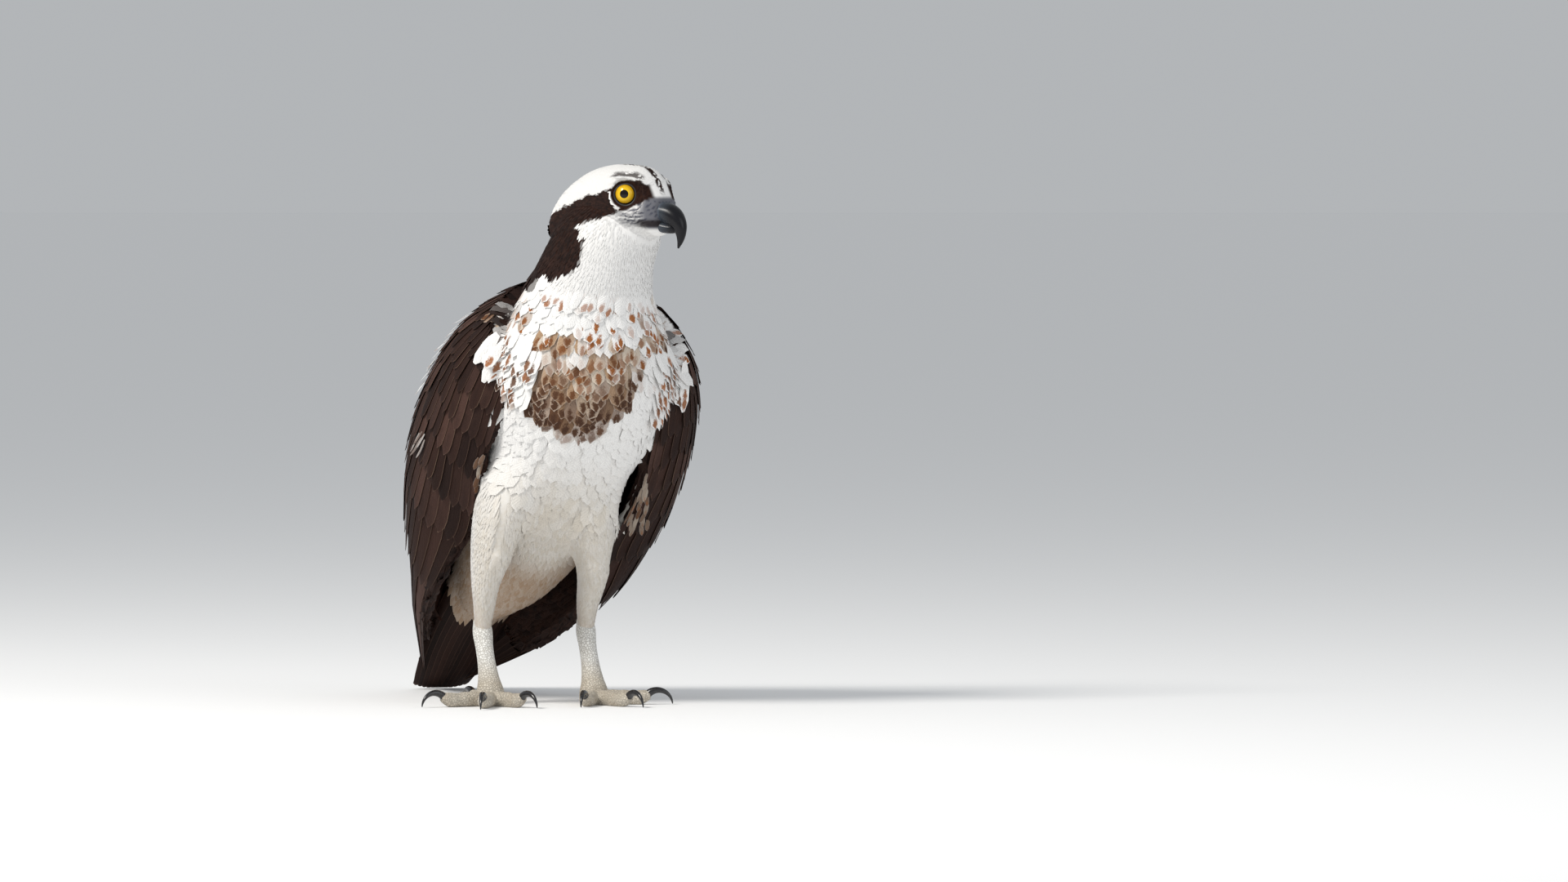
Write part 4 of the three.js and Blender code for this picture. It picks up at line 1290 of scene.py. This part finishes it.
# Feet: each is one scaly skin over the shank and toes, and the claws stay apart.
footTones = {
    "toes": (0.64, 0.60, 0.52, 1),
    "patches": (0.46, 0.39, 0.30, 1),
    "shank": (0.80, 0.79, 0.755, 1),
    "furrows": (0.20, 0.17, 0.13, 1),
    "claws": (0.010, 0.009, 0.010, 1),
}
footPaint = Paint("foot", Roughness=0.55)
place = footPaint.node("ShaderNodeTexCoord", {}, {}, 3)
edges = {"feature": "DISTANCE_TO_EDGE"}
cells = footPaint.node("ShaderNodeTexVoronoi", edges, {"Vector": place, "Scale": 520.0})
patches = footPaint.noise(90.0, 3.0)
tone = footPaint.mix((patches * 1.4 - 0.2).clamp(), footTones["toes"], footTones["patches"])
height = footPaint.node("ShaderNodeSeparateXYZ", {}, {0: place}, 2)
tone = footPaint.mix((height * 55.0 + patches * 0.8 - 1.4).clamp(), tone, footTones["shank"])
furrow = (1.0 - cells * 7.0).clamp()
footPaint.colour(footPaint.mix(furrow * 0.6, tone, footTones["furrows"]))
footPaint.bump((cells * 5.0).clamp(), 0.6, 0.0008)
clawPaint = Paint("claw", Roughness=0.22, Coat_Weight=0.3)
clawPaint.colour(footTones["claws"])


def toePlace(name, angle, p):
    a = math.radians(angle) * sides[name]
    x = p[..., 0] * math.cos(a) - p[..., 1] * math.sin(a)
    y = p[..., 0] * math.sin(a) + p[..., 1] * math.cos(a)
    return standing(np.stack([x + legX[name], y + footY, p[..., 2]], -1))


toeSizes = {
    "lift": [[4.9], [5.6], [5.2], [5.4], [7.2]],
    "radius": [[6 * v] for v in (1.04, 1.02, 0.94, 1, 0.9, 0.95, 0.84, 0.5)],
    "start": 9,
    "scutes": 9,
}


def toeForm(name, toe):
    def form(share, turn, grow=0.0):
        scute = 0.22 * np.maximum(np.sin(turn), 0) * np.abs(np.sin(share * toeSizes["scutes"] * math.pi))
        radius = rowAt(toeSizes["radius"], share)[..., 0] + grow + scute
        y = -(toeSizes["start"] + share * (toe["reach"] - toeSizes["start"]))
        z = np.maximum(rowAt(toeSizes["lift"], share)[..., 0] + np.sin(turn) * radius, 0.1)
        return toePlace(name, toe["angle"], np.stack([np.cos(turn) * radius, y, z], -1))

    return form


def clawForm(name, toe):
    def form(share, turn, grow=0.0):
        heading, rise = np.radians(50 - 138 * share), math.radians(50)
        y = -toe["reach"] + 3.4 - toe["claw"] * (math.sin(rise) - np.sin(heading))
        z = 7.2 + toe["claw"] * (np.cos(heading) - math.cos(rise))
        radius = 3.1 * (1 - 0.88 * share**1.3)
        x = np.cos(turn) * radius
        y = y + np.sin(heading) * np.sin(turn) * radius
        z = np.maximum(z + np.cos(heading) * np.sin(turn) * radius, 0.2)
        return toePlace(name, toe["angle"], np.stack([x, y, z], -1))

    return form


for sideName in sides:
    limb = bmesh.new()
    ballInto(limb, limbForm(tarsusRows, sideName), 40, 48)
    for toe in toes:
        ballInto(limb, toeForm(sideName, toe), 32, 48)
    mesh = remeshed(meshOf(limb, "limb"), 0.0008, f"foot_{sideName}", 1)
    replaced = [f"tarsus_{sideName}"] + [f"toe_{sideName}_{toe['number']}" for toe in toes]
    newObject(f"foot_{sideName}", mesh, footPaint.material, replaced)
    for toe in toes:
        horn = bmesh.new()
        ballInto(horn, clawForm(sideName, toe), 20, 32)
        mesh = meshOf(horn, f"talon_{sideName}_{toe['number']}")
        newObject(mesh.name, mesh, clawPaint.material, [f"claw_{sideName}_{toe['number']}"])
print("feet and claws, and feathers in all", featherCount)

# Floor, light and camera
studio = {
    "air": (0.90, 0.93, 0.96, 1),
    "airStrength": 0.50,
    "floor": (0.88, 0.88, 0.88, 1),
    "floorGlow": 0.052,  # evens out the line where the floor ends
    # Each light's place, what it looks at, its size, power and colour
    "key": ((-2.3, -1.3, 2.6), (0, 0, 0.22), 1.1, 105, (1.0, 0.97, 0.92)),
    "fill": ((1.8, -3.0, 1.4), (0, 0, 0.2), 2.2, 22, (0.95, 0.97, 1.0)),
}
glow = {"Emission_Color": studio["air"], "Emission_Strength": studio["floorGlow"]}
floorPaint = Paint("floor", Roughness=1.0, Specular_IOR_Level=0.0, **glow)
floorPaint.colour(studio["floor"])
ground = bmesh.new()
bmesh.ops.create_grid(ground, x_segments=1, y_segments=1, size=400)
floor = bpy.data.objects.new("floor", meshOf(ground, "floor"))
floor.data.materials.append(floorPaint.material)
bpy.context.scene.collection.objects.link(floor)

bpy.context.scene.view_settings.view_transform = "Standard"
world = bpy.context.scene.world or bpy.data.worlds.new("world")
bpy.context.scene.world = world
world.use_nodes = True
background = world.node_tree.nodes["Background"].inputs
background["Color"].default_value = studio["air"]
background["Strength"].default_value = studio["airStrength"]


def areaLight(name, place, target, size, power, colour):
    lamp = bpy.data.lights.new(name, "AREA")
    lamp.size, lamp.energy, lamp.color = size, power, colour
    made = bpy.data.objects.new(name, lamp)
    bpy.context.scene.collection.objects.link(made)
    made.location = place
    made.rotation_euler = (Vector(target) - Vector(place)).to_track_quat("-Z", "Y").to_euler()


for name in ("key", "fill"):
    areaLight(name, *studio[name])

scale, elevation = view["metresPerPixel"], view["elevation"]
aside, below = 960 - view["stancePixel"][0], view["stancePixel"][1] - 540
target = Vector(stance) + Vector(viewRight) * (aside * scale) - Vector(viewBack) * 0.08
target.z = below * scale
back = Vector((viewBack[0] * math.cos(elevation), viewBack[1] * math.cos(elevation), math.sin(elevation)))
camera = bpy.data.objects.new("camera", bpy.data.cameras.new("camera"))
bpy.context.scene.collection.objects.link(camera)
camera.location = target + back * view["distance"]
camera.rotation_euler = (-back).to_track_quat("-Z", "Y").to_euler()
camera.data.sensor_width = 36
camera.data.lens = 36 * view["distance"] / (1920 * scale)
camera.data.clip_end = 100
bpy.context.scene.camera = camera
bpy.context.view_layer.update()
print("floor, lights and camera")
